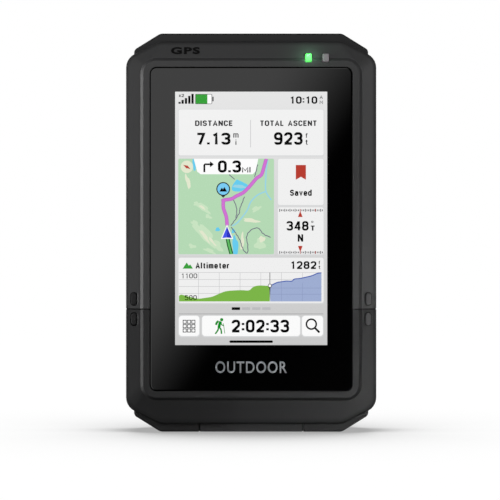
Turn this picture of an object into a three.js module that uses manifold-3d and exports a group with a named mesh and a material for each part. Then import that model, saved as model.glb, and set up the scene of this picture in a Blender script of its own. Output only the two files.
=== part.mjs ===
// A handheld satellite navigator with a touch screen, as an assembly of separate pieces.
//
// Sizes are millimetres. The unit stands on its lower edge: X runs across it, -Y is the screen side, Z is up,
// and the origin is the middle of its footprint. Pieces are drawn in the face frame, where x runs across,
// y is the height and z points out of the screen, and the whole group is turned upright at the end.

import * as THREE from "three";
import { mergeVertices } from "three/addons/utils/BufferGeometryUtils.js";
import Module from "manifold-3d";

const wasm = await Module();
wasm.setup();

// ---------------------------------------------------------------- driving dimensions

const displayWidth = 39.2; // lit area
const displayHeight = 65.3;
const glassBorder = { side: 6.3, top: 6.05, bottom: 11.65 }; // black glass around the lit area
const caseMargin = { side: 4.4, top: 9.15, bottom: 10.85 }; // rear housing beyond the glass
const skirtThickness = 1.75; // bezel skirt that wraps the housing's sides
const caseDepth = 24.4; // front lip to the back of the mounting rail
const railProud = 1.8; // mounting rail beyond the housing's back
const rimSetback = 4.7; // housing's front edge behind the front lip

const sideWall = 2.2;
const bottomWall = 3.2;
const backWall = 3.2;
const housingCut = new THREE.Vector2(7.7, 4.6); // corner cut of the housing, across and up
const bezelCut = new THREE.Vector2(8.8, 4.9);
const bezelInset = 2.25; // bezel short of the housing at top and bottom
const seamHeight = 31.8; // where the upper and lower bezels meet

const glassThickness = 1.5;
const glassCorner = 1.6;
const lipHeight = 0.5; // front lip above the glass
const ringLand = 1.5; // flat land of the raised ring around the glass
const ringStep = 1.0; // bevel from the ring down to the slope, across and deep

const fitGap = 0.25; // between covers and what they go over
const seatGap = 0.3; // between an insert and its pocket
const touchGap = 0.05; // between faces that rest on each other
const cornerSteps = 3; // segments of each rounded corner
const roundSteps = 12; // segments of small round pieces

// ---------------------------------------------------------------- heights and widths that follow

const glassWidth = displayWidth + 2 * glassBorder.side;
const glassBottom = caseMargin.bottom;
const displayBottom = glassBottom + glassBorder.bottom;
const displayTop = displayBottom + displayHeight;
const glassTop = displayTop + glassBorder.top;
const caseHeight = glassTop + caseMargin.top;
const housingWidth = glassWidth + 2 * caseMargin.side;

// ---------------------------------------------------------------- planes, from the front to the back

const frontZ = caseDepth / 2;
const backZ = -caseDepth / 2;
const housingBackZ = backZ + railProud;
const rimZ = frontZ - rimSetback;
const glassFrontZ = frontZ - lipHeight;
const glassBackZ = glassFrontZ - glassThickness;
const gasketThickness = 0.5;
const seatZ = glassBackZ - gasketThickness - 2 * touchGap; // chassis land under the glass gasket
const flangeZ = rimZ + 0.7; // chassis face under the bezel
const chassisBackZ = rimZ - 3.7;
const floorThickness = 1.1; // chassis floor between display and board
const floorFrontZ = rimZ - 0.8;
const boardFrontZ = chassisBackZ - 0.1;
const boardThickness = 1;
const boardBackZ = boardFrontZ - boardThickness;
const cavityBackZ = housingBackZ + backWall;

const bezelWidth = housingWidth + 2 * (skirtThickness + 0.2);
const skirtBackZ = rimZ - 3;

// ---------------------------------------------------------------- outlines

// Corner points rounded by arcs that all have the same number of steps, so that outlines can be lofted.
function rounded(corners, radii, steps) {
  const points = [];
  corners.forEach((corner, i) => {
    const back = corners.at(i - 1).clone().sub(corner).normalize();
    const on = corners[(i + 1) % corners.length].clone().sub(corner).normalize();
    const half = Math.acos(THREE.MathUtils.clamp(back.dot(on), -1, 1)) / 2;
    const radius = radii[i % radii.length];
    const middle = back.clone().add(on).normalize().multiplyScalar(radius / Math.sin(half)).add(corner);
    const from = corner.clone().addScaledVector(back, radius / Math.tan(half));
    for (let k = 0; k <= steps; k++) {
      points.push(from.clone().rotateAround(middle, ((Math.PI - 2 * half) * k) / steps));
    }
  });
  return points;
}

// Rectangle with rounded corners, taken in by inset on every side.
function rectangle({ width, bottom, top, corner }, inset = 0, steps = 2 * cornerSteps + 1) {
  const half = width / 2 - inset;
  const low = bottom + inset;
  const high = top - inset;
  const corners = [[half, low], [half, high], [-half, high], [-half, low]];
  const radius = Math.max(corner - inset, 0.3);
  return rounded(corners.map(([x, y]) => new THREE.Vector2(x, y)), [radius], steps);
}

// Rectangle with its four corners cut off, taken in by inset on every side. Its cuts stay parallel.
function octagon({ width, bottom, top, cut, endRadius, sideRadius }, inset = 0) {
  const half = width / 2 - inset;
  const low = bottom + inset;
  const high = top - inset;
  const length = cut.length();
  const depth = (cut.x * cut.y) / length; // from the missing corner to the cut
  const scale = (depth - (inset * (cut.x + cut.y)) / length + inset) / depth;
  const x = cut.x * scale;
  const y = cut.y * scale;
  const right = [[half - x, low], [half, low + y], [half, high - y], [half - x, high]];
  const left = right.map(([across, up]) => [-across, up]).reverse();
  const radii = [endRadius, sideRadius, sideRadius, endRadius].map((r) => Math.max(r - inset, 0.4));
  const corners = [...right, ...left].map(([across, up]) => new THREE.Vector2(across, up));
  return rounded(corners, radii, cornerSteps);
}

// Oblong with round ends around the origin, upright when high is more than wide.
function oblong(wide, high, steps = 8) {
  const radius = Math.min(wide, high) / 2;
  const reach = Math.abs(high - wide) / 2;
  const middle = high > wide ? new THREE.Vector2(0, reach) : new THREE.Vector2(reach, 0);
  const start = high > wide ? 0 : -Math.PI / 2;
  return [1, -1].flatMap((side) => Array.from({ length: steps + 1 }, (_, k) => {
    const angle = start + (side < 0 ? Math.PI : 0) + (Math.PI * k) / steps;
    return new THREE.Vector2(Math.cos(angle), Math.sin(angle)).multiplyScalar(radius)
      .addScaledVector(middle, side);
  }));
}

const housingOutline = {
  width: housingWidth, bottom: 0, top: caseHeight, cut: housingCut, endRadius: 4, sideRadius: 1.6,
};
const cavityOutline = {
  width: housingWidth - 2 * sideWall,
  bottom: bottomWall,
  top: caseHeight - sideWall,
  cut: housingCut,
  endRadius: 2,
  sideRadius: 1.2,
};
const bezelOutline = {
  width: bezelWidth,
  bottom: bezelInset,
  top: caseHeight - bezelInset,
  cut: bezelCut,
  endRadius: 4,
  sideRadius: 4.2,
};
const glassOutline = {
  width: glassWidth, bottom: glassBottom, top: glassTop, corner: glassCorner,
};
const ringReach = seatGap + ringLand; // from the glass's edge to the ring's outer edge

// ---------------------------------------------------------------- solids

// A closed mesh as a manifold-3d solid, with its shared corners merged.
function solidOf(geometry) {
  const bare = geometry.clone();
  bare.deleteAttribute("normal");
  bare.deleteAttribute("uv");
  const merged = mergeVertices(bare, 1e-4);
  const vertProperties = merged.attributes.position.array;
  const triVerts = new Uint32Array(merged.index.array);
  return new wasm.Manifold(new wasm.Mesh({ numProp: 3, vertProperties, triVerts }));
}

function geometryOf(solid) {
  const mesh = solid.getMesh();
  const geometry = new THREE.BufferGeometry();
  geometry.setAttribute("position", new THREE.BufferAttribute(mesh.vertProperties, 3));
  geometry.setIndex(new THREE.BufferAttribute(mesh.triVerts, 1));
  const flat = geometry.toNonIndexed();
  flat.computeVertexNormals();
  return flat;
}

function join(first, ...others) {
  return geometryOf(others.reduce((solid, other) => solid.add(solidOf(other)), solidOf(first)));
}

function cut(base, ...tools) {
  return geometryOf(tools.reduce((solid, tool) => solid.subtract(solidOf(tool)), solidOf(base)));
}

function common(first, second) {
  return geometryOf(solidOf(first).intersect(solidOf(second)));
}

// An outline drawn out from z = low to z = high.
function prism(points, low, high) {
  const settings = { depth: high - low, bevelEnabled: false };
  return new THREE.ExtrudeGeometry(new THREE.Shape(points), settings).translate(0, 0, low);
}

function block(x, y, z) {
  const size = [x, y, z].map(([low, high]) => high - low);
  const middle = [x, y, z].map(([low, high]) => (low + high) / 2);
  return new THREE.BoxGeometry(...size).translate(...middle);
}

// A round post along z.
function post(radius, low, high, x = 0, y = 0) {
  const round = new THREE.CylinderGeometry(radius, radius, high - low, roundSteps);
  return round.rotateX(Math.PI / 2).translate(x, y, (low + high) / 2);
}

// A round rod along x.
function rod(radius, left, right, y, z) {
  const round = new THREE.CylinderGeometry(radius, radius, right - left, roundSteps);
  return round.rotateZ(Math.PI / 2).translate((left + right) / 2, y, z);
}

// A skin over outlines of equal point counts, from the lowest z to the highest, closed by flat ends.
function loft(levels) {
  const count = levels[0].points.length;
  const position = levels.flatMap(({ z, points }) => points.flatMap((p) => [p.x, p.y, z]));
  const index = [];
  for (let level = 0; level + 1 < levels.length; level++) {
    for (let i = 0; i < count; i++) {
      const a = level * count + i;
      const b = level * count + ((i + 1) % count);
      index.push(a, b, b + count, a, b + count, a + count);
    }
  }
  const top = (levels.length - 1) * count;
  for (const [a, b, c] of THREE.ShapeUtils.triangulateShape(levels[0].points, [])) {
    index.push(c, b, a);
  }
  for (const [a, b, c] of THREE.ShapeUtils.triangulateShape(levels.at(-1).points, [])) {
    index.push(top + a, top + b, top + c);
  }
  const geometry = new THREE.BufferGeometry();
  geometry.setAttribute("position", new THREE.Float32BufferAttribute(position, 3));
  geometry.setIndex(index);
  return geometry;
}

// ---------------------------------------------------------------- materials

const finish = (color, roughness, metalness = 0) =>
  new THREE.MeshStandardMaterial({ color, roughness, metalness });

const materials = {
  bezelPlastic: finish(0x3d3d3f, 0.55),
  bezelRubber: finish(0x2c2c2d, 0.7),
  housingPlastic: finish(0x262627, 0.6),
  chassisPlastic: finish(0x1b1b1d, 0.6),
  coverGlass: finish(0x0b0b0c, 0.05),
  foam: finish(0x151515, 0.95),
  displayPanel: finish(0xe8e8ea, 0.2),
  steel: finish(0xb8bbc0, 0.35, 1),
  darkSteel: finish(0x3a3b3e, 0.4, 1),
  boardResist: finish(0x14532d, 0.45),
  flexCircuit: finish(0xb87a22, 0.4),
  ceramic: finish(0xd8cfae, 0.55),
  batteryWrap: finish(0x33506e, 0.5),
  chipEpoxy: finish(0x101011, 0.5),
  softRubber: finish(0x1c1c1d, 0.85),
  keyRubber: finish(0x242425, 0.75),
  greenLens: finish(0x4dff7c, 0.2),
  greyLens: finish(0x85868c, 0.25),
  membrane: finish(0xe6e6e2, 0.8),
};

// ---------------------------------------------------------------- the group

const unit = new THREE.Group();

function place(parent, name, material, geometry, at = [0, 0, 0]) {
  const mesh = new THREE.Mesh(geometry, materials[material]);
  mesh.name = name;
  mesh.position.set(...at);
  parent.add(mesh);
}

// ---------------------------------------------------------------- case screws: places and sizes

const caseScrew = { headRadius: 1.9, headHeight: 1.25, shankRadius: 0.9, wellRadius: 2.2, bossRadius: 3.1 };
caseScrew.x = housingWidth / 2 - 5.7;
caseScrew.endDistance = 9; // from the lower and upper ends of the case
caseScrew.heights = [caseScrew.endDistance, caseHeight / 2, caseHeight - caseScrew.endDistance];
caseScrew.wellFloorZ = housingBackZ + 6.4;
caseScrew.holeRadius = caseScrew.shankRadius + 0.15;
caseScrew.tipZ = flangeZ - 1.2;
const caseScrewPlaces = caseScrew.heights.flatMap((y) => [[-caseScrew.x, y], [caseScrew.x, y]]);
const screwEndGap = 0.3;

// A socket-head screw pointing up z, with the top of its head at z = 0 and a six-sided socket.
function screw({ headRadius, headHeight, shankRadius, length }) {
  const body = join(post(headRadius, 0, headHeight), post(shankRadius, headHeight - 0.2, length));
  const socket = new THREE.CylinderGeometry(headRadius * 0.5, headRadius * 0.5, headHeight, 6);
  return cut(body, socket.rotateX(Math.PI / 2).translate(0, 0, 0.1));
}

// ---------------------------------------------------------------- side keys: places and sizes

const key = { length: 15, width: 4.6, flangeLap: 0.6, proud: 1.1, travel: 0.5 };
key.height = caseHeight - 25;
key.chassisGap = 0.3;
key.z = chassisBackZ - key.chassisGap - key.flangeLap - key.width / 2;
key.flangeThickness = 0.9;
key.sealDepth = 0.5;
key.sealWidth = 0.7;
const wallOuter = housingWidth / 2;
const wallInner = wallOuter - sideWall;
key.flangeFace = wallInner - 0.2; // against the inside of the wall
key.postEnd = wallInner - 2.15;
key.sealMiddle = wallOuter - sideWall / 2;

// ---------------------------------------------------------------- charging port and its weather cap

const port = { width: 8.9, thickness: 3.2, length: 7.3, corner: 1.5 };
port.z = boardBackZ - 0.1 - port.thickness / 2;
port.mouth = bottomWall + 0.5; // height of the receptacle's mouth
const cap = { width: 26.6, thickness: 1.85, floorGap: 0.25, knuckleRadius: 0.9, pinRadius: 0.4 };
cap.pinBore = cap.pinRadius + 0.1;
cap.axisHeight = cap.floorGap + cap.knuckleRadius;
cap.axisZ = port.z - 5.25;
cap.frontZ = rimZ - 0.1;
cap.seatHeight = cap.floorGap + cap.thickness + 0.1;
cap.seatWidth = cap.width + 2 * fitGap;
cap.sealWidth = port.width + 1.1;
cap.sealThickness = port.thickness + 1.1;
cap.recessGap = 0.35;
const collar = { halfWidth: 8.5, below: 5.4, top: bottomWall + 2.8 }; // thick wall around the port

// ---------------------------------------------------------------- mounting rail

const rail = { width: 16, stemWidth: 11, height: 38, headThickness: 1.5, recessDepth: 1.8 };
rail.centre = caseHeight - 40;
rail.recessZ = housingBackZ + rail.recessDepth;
rail.endRoom = 4; // recess beyond each end of the rail
const railScrew = { headRadius: 2, headHeight: 0.9, shankRadius: 0.9, spread: 24, sinkDepth: 1.2 };
railScrew.heights = [rail.centre - railScrew.spread / 2, rail.centre + railScrew.spread / 2];
railScrew.holeRadius = railScrew.shankRadius + 0.15;

// ---------------------------------------------------------------- grips, lanyard bar, vent

const grip = { width: 6.2, bottom: 18, top: caseHeight - 17, depth: 0.8, proud: 0.3, corner: 1.6 };
grip.x = caseScrew.x - 6.7;
rail.recess = {
  width: 2 * (grip.x - grip.width / 2 - 1.8),
  bottom: rail.centre - rail.height / 2 - rail.endRoom,
  top: rail.centre + rail.height / 2 + rail.endRoom,
  corner: 3,
};
const lanyard = { width: 7, bottom: 3.6, top: 12, depth: 4.2, barRadius: 0.9, barHeight: 7.8 };
lanyard.barZ = housingBackZ + 1.5;
lanyard.barSeat = 1; // bar end inside each side wall
lanyard.x = caseScrew.bossRadius - caseScrew.x + lanyard.width / 2 + lanyard.barSeat - 0.2;
const vent = { x: 12, y: 14, radius: 0.6, membraneRadius: 2.4, membraneThickness: 0.3 };

// ---------------------------------------------------------------- rear housing

function housingOuter() {
  const edge = 4.2; // sloped margin around the back
  return loft([
    { z: housingBackZ, points: octagon(housingOutline, edge) },
    { z: housingBackZ + 0.9, points: octagon(housingOutline, edge - 1.6) },
    { z: housingBackZ + 3.4, points: octagon(housingOutline, 0) },
    { z: rimZ - 0.6, points: octagon(housingOutline, 0) },
    { z: rimZ, points: octagon(housingOutline, 0.5) },
  ]);
}

function capSeatCuts() {
  const half = cap.seatWidth / 2;
  const backEdge = cap.axisZ - cap.knuckleRadius - fitGap;
  const recess = oblong(cap.sealWidth + 2 * cap.recessGap, cap.sealThickness + 2 * cap.recessGap);
  const portHole = oblong(port.width + 0.5, port.thickness + 0.5);
  const standing = (points, low, high) =>
    prism(points, low, high).rotateX(-Math.PI / 2).translate(0, 0, port.z);
  return [
    block([-half, half], [-1, cap.seatHeight], [backEdge, rimZ + 1]),
    standing(recess, cap.seatHeight - 0.5, port.mouth - 0.1),
    standing(portHole, cap.seatHeight, collar.top + 1),
    rod(cap.pinBore, -half - 1.3, half + 1.3, cap.axisHeight, cap.axisZ),
  ];
}

function keyHole(side) {
  const hole = oblong(key.width + 2 * fitGap, key.length + 2 * fitGap);
  const along = prism(hole, wallInner - 1, wallOuter + 1).rotateY((side * Math.PI) / 2);
  return along.translate(0, key.height, key.z);
}

function rearHousing() {
  const bossTopZ = chassisBackZ - 0.2;
  const hollow = prism(octagon(cavityOutline), cavityBackZ, rimZ + 1);
  const shell = join(
    cut(housingOuter(), hollow),
    ...caseScrewPlaces.map(([x, y]) => post(caseScrew.bossRadius, cavityBackZ - 0.5, bossTopZ, x, y)),
    block([-collar.halfWidth, collar.halfWidth], [bottomWall - 0.5, collar.top],
      [port.z - collar.below, bossTopZ]),
    block([lanyard.x - lanyard.width / 2 - lanyard.barSeat, lanyard.x + lanyard.width / 2 + 1],
      [bottomWall - 0.5, lanyard.top + 1], [cavityBackZ - 0.5, housingBackZ + lanyard.depth + 1.2]),
  );
  const wells = caseScrewPlaces.flatMap(([x, y]) => [
    post(caseScrew.wellRadius, housingBackZ - 1, caseScrew.wellFloorZ, x, y),
    post(caseScrew.holeRadius, caseScrew.wellFloorZ - 0.5, bossTopZ + 1, x, y),
  ]);
  const railHoles = railScrew.heights.map((y) =>
    post(railScrew.holeRadius, rail.recessZ - 1, cavityBackZ + 1, 0, y));
  const gripRecess = { width: grip.width, bottom: grip.bottom, top: grip.top, corner: grip.corner };
  const gripPockets = [-1, 1].map((side) =>
    prism(rectangle(gripRecess, 0, cornerSteps), housingBackZ - 1, housingBackZ + grip.depth)
      .translate(side * grip.x, 0, 0));
  const half = lanyard.width / 2;
  return cut(
    shell,
    ...wells,
    ...railHoles,
    ...gripPockets,
    ...capSeatCuts(),
    keyHole(1),
    keyHole(-1),
    prism(rectangle(rail.recess, 0, cornerSteps), housingBackZ - 1, rail.recessZ),
    block([lanyard.x - half, lanyard.x + half], [lanyard.bottom, lanyard.top],
      [housingBackZ - 1, housingBackZ + lanyard.depth]),
    rod(lanyard.barRadius + 0.05, lanyard.x - half - lanyard.barSeat, lanyard.x + half + lanyard.barSeat,
      lanyard.barHeight, lanyard.barZ),
    post(vent.radius, housingBackZ - 1, cavityBackZ + 1, vent.x, vent.y),
  );
}

place(unit, "rear_housing", "housingPlastic", rearHousing());

const lanyardBarHalf = lanyard.width / 2 + lanyard.barSeat - 0.1;
place(unit, "lanyard_bar", "steel",
  rod(lanyard.barRadius, -lanyardBarHalf, lanyardBarHalf, 0, 0),
  [lanyard.x, lanyard.barHeight, lanyard.barZ]);

place(unit, "vent_membrane", "membrane",
  post(vent.membraneRadius, touchGap, touchGap + vent.membraneThickness),
  [vent.x, vent.y, cavityBackZ]);

// A ribbed pad that fills its pocket and stands a little proud of the back.
function gripPad() {
  const outline = { width: grip.width, bottom: grip.bottom, top: grip.top, corner: grip.corner };
  const points = rectangle(outline, seatGap / 2, cornerSteps);
  const pad = prism(points, housingBackZ - grip.proud, housingBackZ + grip.depth - touchGap);
  const pitch = 4;
  const count = Math.floor((grip.top - grip.bottom) / pitch) - 1;
  const grooves = Array.from({ length: count }, (_, i) => {
    const y = grip.bottom + pitch * (i + 1);
    return block([-grip.width, grip.width], [y - 0.6, y + 0.6],
      [housingBackZ - grip.proud - 1, housingBackZ + 0.1]);
  });
  return cut(pad, ...grooves);
}

place(unit, "grip_pad_left", "softRubber", gripPad(), [-grip.x, 0, 0]);
place(unit, "grip_pad_right", "softRubber", gripPad(), [grip.x, 0, 0]);

// ---------------------------------------------------------------- mounting rail and its screws

function mountRail() {
  const half = rail.height / 2;
  const stem = block([-rail.stemWidth / 2, rail.stemWidth / 2], [-half, half],
    [backZ + rail.headThickness - 0.2, rail.recessZ - touchGap]);
  const headOutline = { width: rail.width, bottom: -half, top: half, corner: 2 };
  const head = loft([
    { z: backZ, points: rectangle(headOutline, 0.4, cornerSteps) },
    { z: backZ + 0.4, points: rectangle(headOutline, 0, cornerSteps) },
    { z: backZ + rail.headThickness, points: rectangle(headOutline, 0, cornerSteps) },
  ]);
  const latchNotch = block([-4, 4], [half - 4.2, half - 2.2], [backZ - 1, backZ + 0.9]);
  const holes = railScrew.heights.flatMap((y) => [
    post(railScrew.holeRadius, backZ - 1, rail.recessZ + 1, 0, y - rail.centre),
    post(railScrew.headRadius + 0.15, backZ - 1, backZ + railScrew.sinkDepth, 0, y - rail.centre),
  ]);
  return cut(join(stem, head), latchNotch, ...holes);
}

place(unit, "mount_rail", "housingPlastic", mountRail(), [0, rail.centre, 0]);

const railScrewHeadZ = backZ + railScrew.sinkDepth - railScrew.headHeight - touchGap;
railScrew.length = cavityBackZ - 0.2 - railScrewHeadZ;
["lower", "upper"].forEach((where, i) =>
  place(unit, `rail_screw_${where}`, "darkSteel", screw(railScrew),
    [0, railScrew.heights[i], railScrewHeadZ]));

// ---------------------------------------------------------------- front chassis

const panelBorder = { side: 1.9, bottom: 4.05, top: 1.55 }; // panel beyond the lit area
const panel = {
  width: displayWidth + 2 * panelBorder.side,
  bottom: displayBottom - panelBorder.bottom,
  top: displayTop + panelBorder.top,
  corner: 0.4,
};
const pocket = { width: panel.width + 2.2, bottom: panel.bottom - 5, top: panel.top + 0.8, corner: 0.6 };
const board = { bottom: collar.top + 0.4, top: caseHeight - 5, earHalf: 6 };
board.halfWidth = caseScrew.x - caseScrew.bossRadius - 0.5; // between the housing's bosses
board.earReach = board.halfWidth + 3; // the ears carry the side switches
const boardBay = { halfWidth: board.halfWidth - 0.1, bottom: 17.2, top: caseHeight - 15 };
const flexSlot = { halfWidth: 8, bottom: pocket.bottom + 0.7, top: pocket.bottom + 2.9 };
const sealGroove = { low: rimZ - 2.5, high: rimZ - 1.1, depth: 1 };
const chassisGap = 0.3; // chassis to housing wall
const lightPipe = { width: 1.65, height: 2.15, y: glassTop + 2.55, gap: 0.15, faceZ: frontZ - 0.25 };
const lightPipes = { status: board.halfWidth - 6.25, sensor: board.halfWidth - 1.85 };
const boardScrew = { headRadius: 1.5, headHeight: 0.75, shankRadius: 0.7, length: 4.1 };
boardScrew.x = board.halfWidth - 3.5;
boardScrew.heights = [boardBay.bottom + 4.8, boardBay.top - 4];
boardScrew.places = [-1, 1].flatMap((side) => boardScrew.heights.map((y) => [side * boardScrew.x, y]));
boardScrew.padRadius = 2.4;

function lightPipeHole(x, low, high) {
  const halfWidth = lightPipe.width / 2 + lightPipe.gap;
  const halfHeight = lightPipe.height / 2 + lightPipe.gap;
  return block([x - halfWidth, x + halfWidth], [lightPipe.y - halfHeight, lightPipe.y + halfHeight],
    [low, high]);
}

function frontChassis() {
  const outline = octagon(cavityOutline, chassisGap);
  const body = join(
    prism(outline, chassisBackZ, flangeZ),
    prism(rectangle(glassOutline), flangeZ - 0.5, seatZ),
  );
  const groove = cut(
    prism(octagon(cavityOutline, -1), sealGroove.low, sealGroove.high),
    prism(octagon(cavityOutline, chassisGap + sealGroove.depth), sealGroove.low - 1, sealGroove.high + 1),
  );
  const hollowed = cut(
    body,
    groove,
    prism(rectangle(pocket), floorFrontZ, frontZ),
    block([-boardBay.halfWidth, boardBay.halfWidth], [boardBay.bottom, boardBay.top],
      [chassisBackZ - 1, floorFrontZ - floorThickness]),
    block([-flexSlot.halfWidth, flexSlot.halfWidth], [flexSlot.bottom, flexSlot.top],
      [chassisBackZ - 1, frontZ]),
    ...Object.values(lightPipes).map((x) => lightPipeHole(x, chassisBackZ - 1, frontZ)),
  );
  const bosses = boardScrew.places.map(([x, y]) =>
    post(boardScrew.padRadius, chassisBackZ, floorFrontZ - floorThickness + 0.2, x, y));
  const caseHoles = caseScrewPlaces.map(([x, y]) =>
    post(caseScrew.holeRadius, chassisBackZ - 1, caseScrew.tipZ + screwEndGap, x, y));
  const boardHoles = boardScrew.places.map(([x, y]) =>
    post(boardScrew.shankRadius + 0.15, chassisBackZ - 1, floorFrontZ - 0.4, x, y));
  return cut(join(hollowed, ...bosses), ...caseHoles, ...boardHoles);
}

place(unit, "front_chassis", "chassisPlastic", frontChassis());

place(unit, "housing_seal", "softRubber", cut(
  prism(octagon(cavityOutline, 0.08), sealGroove.low + 0.1, sealGroove.high - 0.1),
  prism(octagon(cavityOutline, chassisGap + sealGroove.depth - 0.1), sealGroove.low - 1, sealGroove.high + 1),
));

// Screws from the back, through the housing's bosses and into the chassis.
const caseScrewHeadZ = caseScrew.wellFloorZ - caseScrew.headHeight - touchGap;
caseScrew.length = caseScrew.tipZ - caseScrewHeadZ;
caseScrewPlaces.forEach(([x, y], i) => {
  const where = ["lower", "middle", "upper"][Math.floor(i / 2)];
  place(unit, `case_screw_${where}_${x < 0 ? "left" : "right"}`, "darkSteel", screw(caseScrew),
    [x, y, caseScrewHeadZ]);
});

// ---------------------------------------------------------------- bezel, in two halves

const slopeEdgeZ = frontZ - 2; // outer edge of the slope
const slopeFootZ = frontZ - ringStep; // foot of the ring's bevel
const plug = { width: 1.5, height: 3.2, x: housingWidth / 2 - 0.1, offset: 2.6, sunk: 0.25, depth: 1.35 };
const plugHeights = { upper: seamHeight + plug.offset, lower: seamHeight - plug.offset };
const plugFaceZ = (slopeEdgeZ + slopeFootZ) / 2 - plug.sunk;

function wholeBezel() {
  const opening = rectangle(glassOutline, -seatGap);
  const skin = loft([
    { z: skirtBackZ, points: octagon(bezelOutline) },
    { z: slopeEdgeZ - 0.7, points: octagon(bezelOutline) },
    { z: slopeEdgeZ, points: octagon(bezelOutline, 0.5) },
    { z: slopeFootZ, points: rectangle(glassOutline, -ringReach - ringStep) },
    { z: frontZ, points: rectangle(glassOutline, -ringReach) },
  ]);
  const plugPocket = oblong(plug.width + 0.2, plug.height + 0.2);
  const plugPockets = [-1, 1].flatMap((side) => Object.values(plugHeights).map((y) =>
    prism(plugPocket, plugFaceZ - plug.depth - touchGap, frontZ).translate(side * plug.x, y, 0)));
  return cut(
    skin,
    prism(octagon(housingOutline, -0.2), skirtBackZ - 1, rimZ + 0.2),
    prism(octagon(cavityOutline, chassisGap - fitGap), rimZ, flangeZ + 0.2),
    prism(opening, skirtBackZ - 1, frontZ + 1),
    ...Object.values(lightPipes).map((x) => lightPipeHole(x, rimZ, frontZ + 1)),
    ...plugPockets,
  );
}

const seamGap = 0.3;
const bezel = wholeBezel();
const sideReach = [-bezelWidth, bezelWidth];
const allDepth = [backZ, frontZ + 1];
place(unit, "bezel_upper", "bezelPlastic",
  common(bezel, block(sideReach, [seamHeight + seamGap / 2, caseHeight], allDepth)));
place(unit, "bezel_lower", "bezelRubber",
  common(bezel, block(sideReach, [0, seamHeight - seamGap / 2], allDepth)));

// Soft plugs that close the assembly windows on both sides of the seam.
for (const [side, x] of [["left", -plug.x], ["right", plug.x]]) {
  for (const [half, y] of Object.entries(plugHeights)) {
    const outline = oblong(plug.width, plug.height);
    place(unit, `seam_plug_${half}_${side}`, "softRubber", prism(outline, -plug.depth, 0),
      [x, y, plugFaceZ]);
  }
}

// ---------------------------------------------------------------- glass and display

place(unit, "cover_glass", "coverGlass", loft([
  { z: glassBackZ, points: rectangle(glassOutline) },
  { z: glassFrontZ - 0.25, points: rectangle(glassOutline) },
  { z: glassFrontZ, points: rectangle(glassOutline, 0.25) },
]));

place(unit, "glass_gasket", "foam", cut(
  prism(rectangle(glassOutline, 0.3), seatZ + touchGap, seatZ + touchGap + gasketThickness),
  prism(rectangle(pocket, -0.3), seatZ - 1, glassBackZ + 1),
));

const backlightThickness = 1.4;
const panelBackZ = floorFrontZ + 0.1 + backlightThickness + 0.1;
const panelFrontZ = glassBackZ - 0.3;
place(unit, "display_panel", "displayPanel", prism(rectangle(panel, 0, 2), panelBackZ, panelFrontZ));
place(unit, "display_backlight", "steel",
  prism(rectangle(panel, -0.7, 2), floorFrontZ + 0.1, floorFrontZ + 0.1 + backlightThickness));

// A flat cable from the panel's lower edge, through the chassis floor, to the board. Drawn in y and z.
function displayFlex() {
  const thickness = 0.3;
  const bend = flexSlot.bottom + 0.8;
  const start = panel.bottom - 0.2;
  const faceZ = (panelBackZ + panelFrontZ) / 2;
  const low = boardFrontZ + 0.2;
  const side = [[start, faceZ], [bend, faceZ], [bend, low], [bend + thickness, low],
    [bend + thickness, faceZ - thickness], [start, faceZ - thickness]];
  const width = 14;
  // x of the drawn outline is the height and its y is the depth, so it is turned to run across the unit.
  const turned = new THREE.Matrix4().makeBasis(
    new THREE.Vector3(0, 1, 0), new THREE.Vector3(0, 0, 1), new THREE.Vector3(1, 0, 0));
  return prism(side.map(([y, z]) => new THREE.Vector2(y, z)), -width / 2, width / 2).applyMatrix4(turned);
}

place(unit, "display_flex_cable", "flexCircuit", displayFlex());

// ---------------------------------------------------------------- light pipes

for (const [name, x, material] of [
  ["status_light_pipe", lightPipes.status, "greenLens"],
  ["light_sensor_pipe", lightPipes.sensor, "greyLens"],
]) {
  const halfWidth = lightPipe.width / 2;
  const halfHeight = lightPipe.height / 2;
  place(unit, name, material,
    block([-halfWidth, halfWidth], [-halfHeight, halfHeight], [boardFrontZ + 0.6, lightPipe.faceZ]),
    [x, lightPipe.y, 0]);
}

// ---------------------------------------------------------------- circuit board and what is on it

function mainBoard() {
  const plate = join(
    block([-board.halfWidth, board.halfWidth], [board.bottom, board.top], [boardBackZ, boardFrontZ]),
    block([-board.earReach, board.earReach], [key.height - board.earHalf, key.height + board.earHalf],
      [boardBackZ, boardFrontZ]),
  );
  return cut(plate, ...boardScrew.places.map(([x, y]) =>
    post(boardScrew.shankRadius + 0.2, boardBackZ - 1, boardFrontZ + 1, x, y)));
}

place(unit, "main_board", "boardResist", mainBoard());

boardScrew.places.forEach(([x, y]) =>
  place(unit, `board_screw_${y < caseHeight / 2 ? "lower" : "upper"}_${x < 0 ? "left" : "right"}`, "steel",
    screw(boardScrew), [x, y, boardBackZ - touchGap - boardScrew.headHeight]));

// Pieces on the board's front face sit in the chassis bay. Pieces on its back face look at the battery.
const onFront = (height) => [boardFrontZ + touchGap, boardFrontZ + touchGap + height];
const onBack = (height) => [boardBackZ - touchGap - height, boardBackZ - touchGap];

const shieldHeight = 1.6;
const receiverShield = { across: [-10, 14], top: boardBay.top - 9, length: 15 };
receiverShield.bottom = receiverShield.top - receiverShield.length;
const processorShield = { across: [-14, 6], top: receiverShield.bottom - 4, length: 26 };
processorShield.bottom = processorShield.top - processorShield.length;
for (const [name, { across, bottom, top }] of [
  ["processor_shield", processorShield],
  ["receiver_shield", receiverShield],
]) {
  place(unit, name, "steel", block(across, [bottom, top], onFront(shieldHeight)));
}
place(unit, "status_led", "greenLens", block([-0.8, 0.8], [-0.5, 0.5], onFront(0.35)),
  [lightPipes.status, lightPipe.y, 0]);
place(unit, "light_sensor_chip", "chipEpoxy", block([-0.8, 0.8], [-0.6, 0.6], onFront(0.35)),
  [lightPipes.sensor, lightPipe.y, 0]);

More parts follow.
